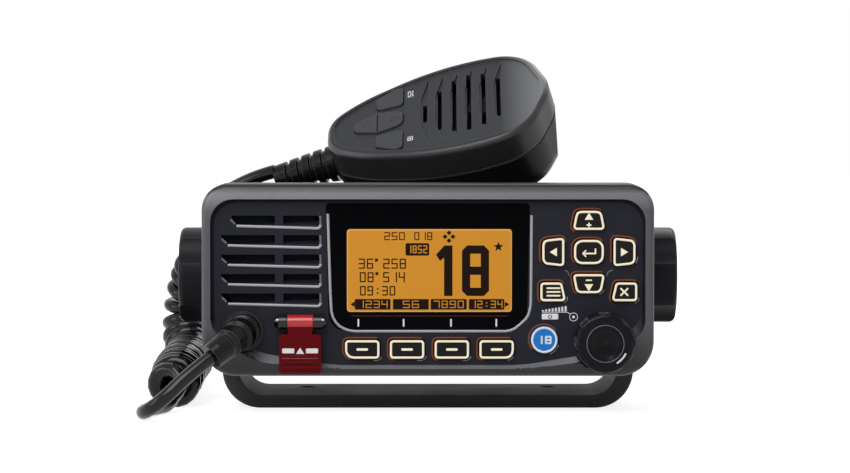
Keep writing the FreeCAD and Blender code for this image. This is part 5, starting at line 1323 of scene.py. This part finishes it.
class RADIO_OT_make_cover_trim(bpy.types.Operator):
    """Makes the white print and the pale line of the distress lid, and the glints on its pin"""

    bl_idname = "radio.make_cover_trim"
    bl_label = "Make Cover Trim"

    # Heights above the floor in millimetres: of the row of print, and of the pale line below it.
    PRINT_ROW, LINE_ROW = 22.55, 20.2
    # The lid's barrel is left out when its plate is looked for; the print lies sunk in the plate's frame.
    BARREL_ZONE, PLATE_SUNK = 8 * MM, 0.5 * MM
    # A glint: how far it stays from the pin's ends, above its middle and behind its front, its width.
    GLINT_INSET, GLINT_RISE, GLINT_BACK, GLINT_WIDTH = 0.7 * MM, 0.9 * MM, 0.2 * MM, 0.7 * MM

    def execute(self, context):
        low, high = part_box("distress_cover")
        face = min(v.co.y for v in NODES["distress_cover"].data.vertices
                   if v.co.z < high.z - self.BARREL_ZONE)
        place = drawing_place(face + self.PLATE_SUNK, (low.x + high.x) / 2, -PANEL_MIDDLE)
        white, row = "white_print", self.PRINT_ROW
        parts = [slab(f"bar_{side}", rounded_box(4.2, 1.7, 0.25, (side * 4.1, row)), 0.04, white, place)
                 for side in (-1, 1)]
        triangle = [(-1.4, row - 1.05), (1.4, row - 1.05), (0, row + 1.15)]
        parts.append(slab("triangle", triangle, 0.04, white, place))
        parts.append(slab("pale_line", rounded_box(12.6, 0.8, 0.2, (0, self.LINE_ROW)), 0.05,
                          "cover_pale", place))
        trim = joined("cover_trim", parts)
        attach(trim, body_name("distress_cover"))
        self.pin_glints()
        return {"FINISHED"}

    def pin_glints(self):
        """The light that the two glossy ends of the pin catch along their upper side."""
        low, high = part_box("distress_hinge_pin")
        lid_low, lid_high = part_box("distress_cover")
        inset = self.GLINT_INSET
        level = (low.z + high.z) / 2 + self.GLINT_RISE - PANEL_MIDDLE
        ends = [(low.x + inset, (low.x + lid_low.x) / 2 + inset),
                ((high.x + lid_high.x) / 2 - inset, high.x - inset)]
        glints = bead("pin_glints", [([(a, 0), ((a + b) / 2, 0), (b, 0)], False) for a, b in ends],
                      self.GLINT_WIDTH, 0.1 * MM, "white_print",
                      panel_place(low.y + self.GLINT_BACK, 0, level))
        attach(glints, body_name("distress_hinge_pin"))


class RADIO_OT_make_knob_trim(bpy.types.Operator):
    """Makes the volume knob's painted highlights: a fine ring round its dish and a white arc on its rim"""

    bl_idname = "radio.make_knob_trim"
    bl_label = "Make Knob Trim"

    # The radii of the highlight ring and of the highlight arc in millimetres.
    DISH, ARC = 6.35, 7.7

    def execute(self, context):
        low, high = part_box("volume_knob")
        place = drawing_place(low.y, (low.x + high.x) / 2, (low.z + high.z) / 2 - PANEL_MIDDLE)
        round_line, arc = arc_points(self.DISH, range(0, 360, 5)), arc_points(self.ARC, range(-60, -24, 5))
        ring = bead("knob_ring", [(round_line, True)], 0.3, 0.06, "dim_line", place)
        mark = bead("knob_mark", [(arc, False)], 0.6, 0.06, "white_print", place)
        trim = joined("knob_trim", [ring, mark])
        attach(trim, body_name("volume_knob"))
        return {"FINISHED"}


class RADIO_OT_make_microphone_trim(bpy.types.Operator):
    """Makes the numbers beside the microphone's keys and the arrows on two of them"""

    bl_idname = "radio.make_microphone_trim"
    bl_label = "Make Microphone Trim"

    # Places on the face in millimetres: of the numbers, and of the arrows with the side that they look to.
    NUMBERS = (("25", (-9.9, 15.2)), ("18", (-9.9, -13.4)))
    NUMBER_BOX = (-1.95, -1.05, 3.9, 2.1)
    ARROWS = ((-26.2, -1), (-15.6, 1))

    def execute(self, context):
        place = MIC_PLACE @ Matrix.Translation((0, 0, MIC_FACE_Z)) @ Matrix.Scale(MM, 4)
        key_top = place @ Matrix.Translation((0, 0, MIC_KEY_PROUD))
        marks = []
        for text, at in self.NUMBERS:
            beside = place @ Matrix.Translation((*at, 0)) @ Matrix.Rotation(math.radians(-90), 4, "Z")
            marks.append(numerals("mic_mark", text, self.NUMBER_BOX, 0.32, "white_print", beside))
        for at, side in self.ARROWS:
            outline = [(at + side * 1.7, 0), (at - side * 1.3, 1.7), (at - side * 1.3, -1.7)]
            marks.append(bead("mic_arrow", [(outline, True)], 0.22, 0.04, "mic_shoulder", key_top))
        for mark, body in ((joined("mic_numbers", marks[:2]), "mic_front_shell"), (marks[2], "mic_key_down"),
                           (marks[3], "mic_key_up")):
            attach(mark, body_name(body))
        return {"FINISHED"}


# ---------------------------------------------------------------- panel in the sidebar

STEPS = [RADIO_OT_make_stage, RADIO_OT_make_cord, RADIO_OT_paint_frame, RADIO_OT_make_display,
         RADIO_OT_make_key_rings, RADIO_OT_make_panel_trim, RADIO_OT_make_cover_trim,
         RADIO_OT_make_knob_trim, RADIO_OT_make_microphone_trim]


class RADIO_PT_dresser(bpy.types.Panel):
    """Lists the settings and the steps"""

    bl_label = "Marine Radio"
    bl_idname = "RADIO_PT_dresser"
    bl_space_type = "VIEW_3D"
    bl_region_type = "UI"
    bl_category = "Marine Radio"

    def draw(self, context):
        for name in SETTINGS:
            box = self.layout.box()
            group = getattr(context.scene, name)
            for key in group.bl_rna.properties.keys():
                if key not in ("rna_type", "name"):
                    box.prop(group, key)
        for step in STEPS:
            self.layout.operator(step.bl_idname)


def register():
    for name, group in SETTINGS.items():
        bpy.utils.register_class(group)
        setattr(bpy.types.Scene, name, bpy.props.PointerProperty(type=group))
    for step in STEPS:
        bpy.utils.register_class(step)
    bpy.utils.register_class(RADIO_PT_dresser)


def unregister():
    bpy.utils.unregister_class(RADIO_PT_dresser)
    for step in reversed(STEPS):
        bpy.utils.unregister_class(step)
    for name, group in SETTINGS.items():
        delattr(bpy.types.Scene, name)
        bpy.utils.unregister_class(group)


def main():
    register()
    TREES["bead"] = bead_tree()
    TREES["grain"] = grain_group()
    TREES["edge"] = edge_group()
    make_finishes()
    for step in STEPS:
        group, call = step.bl_idname.split(".")
        getattr(getattr(bpy.ops, group), call)()


if __name__ == "__main__":
    main()
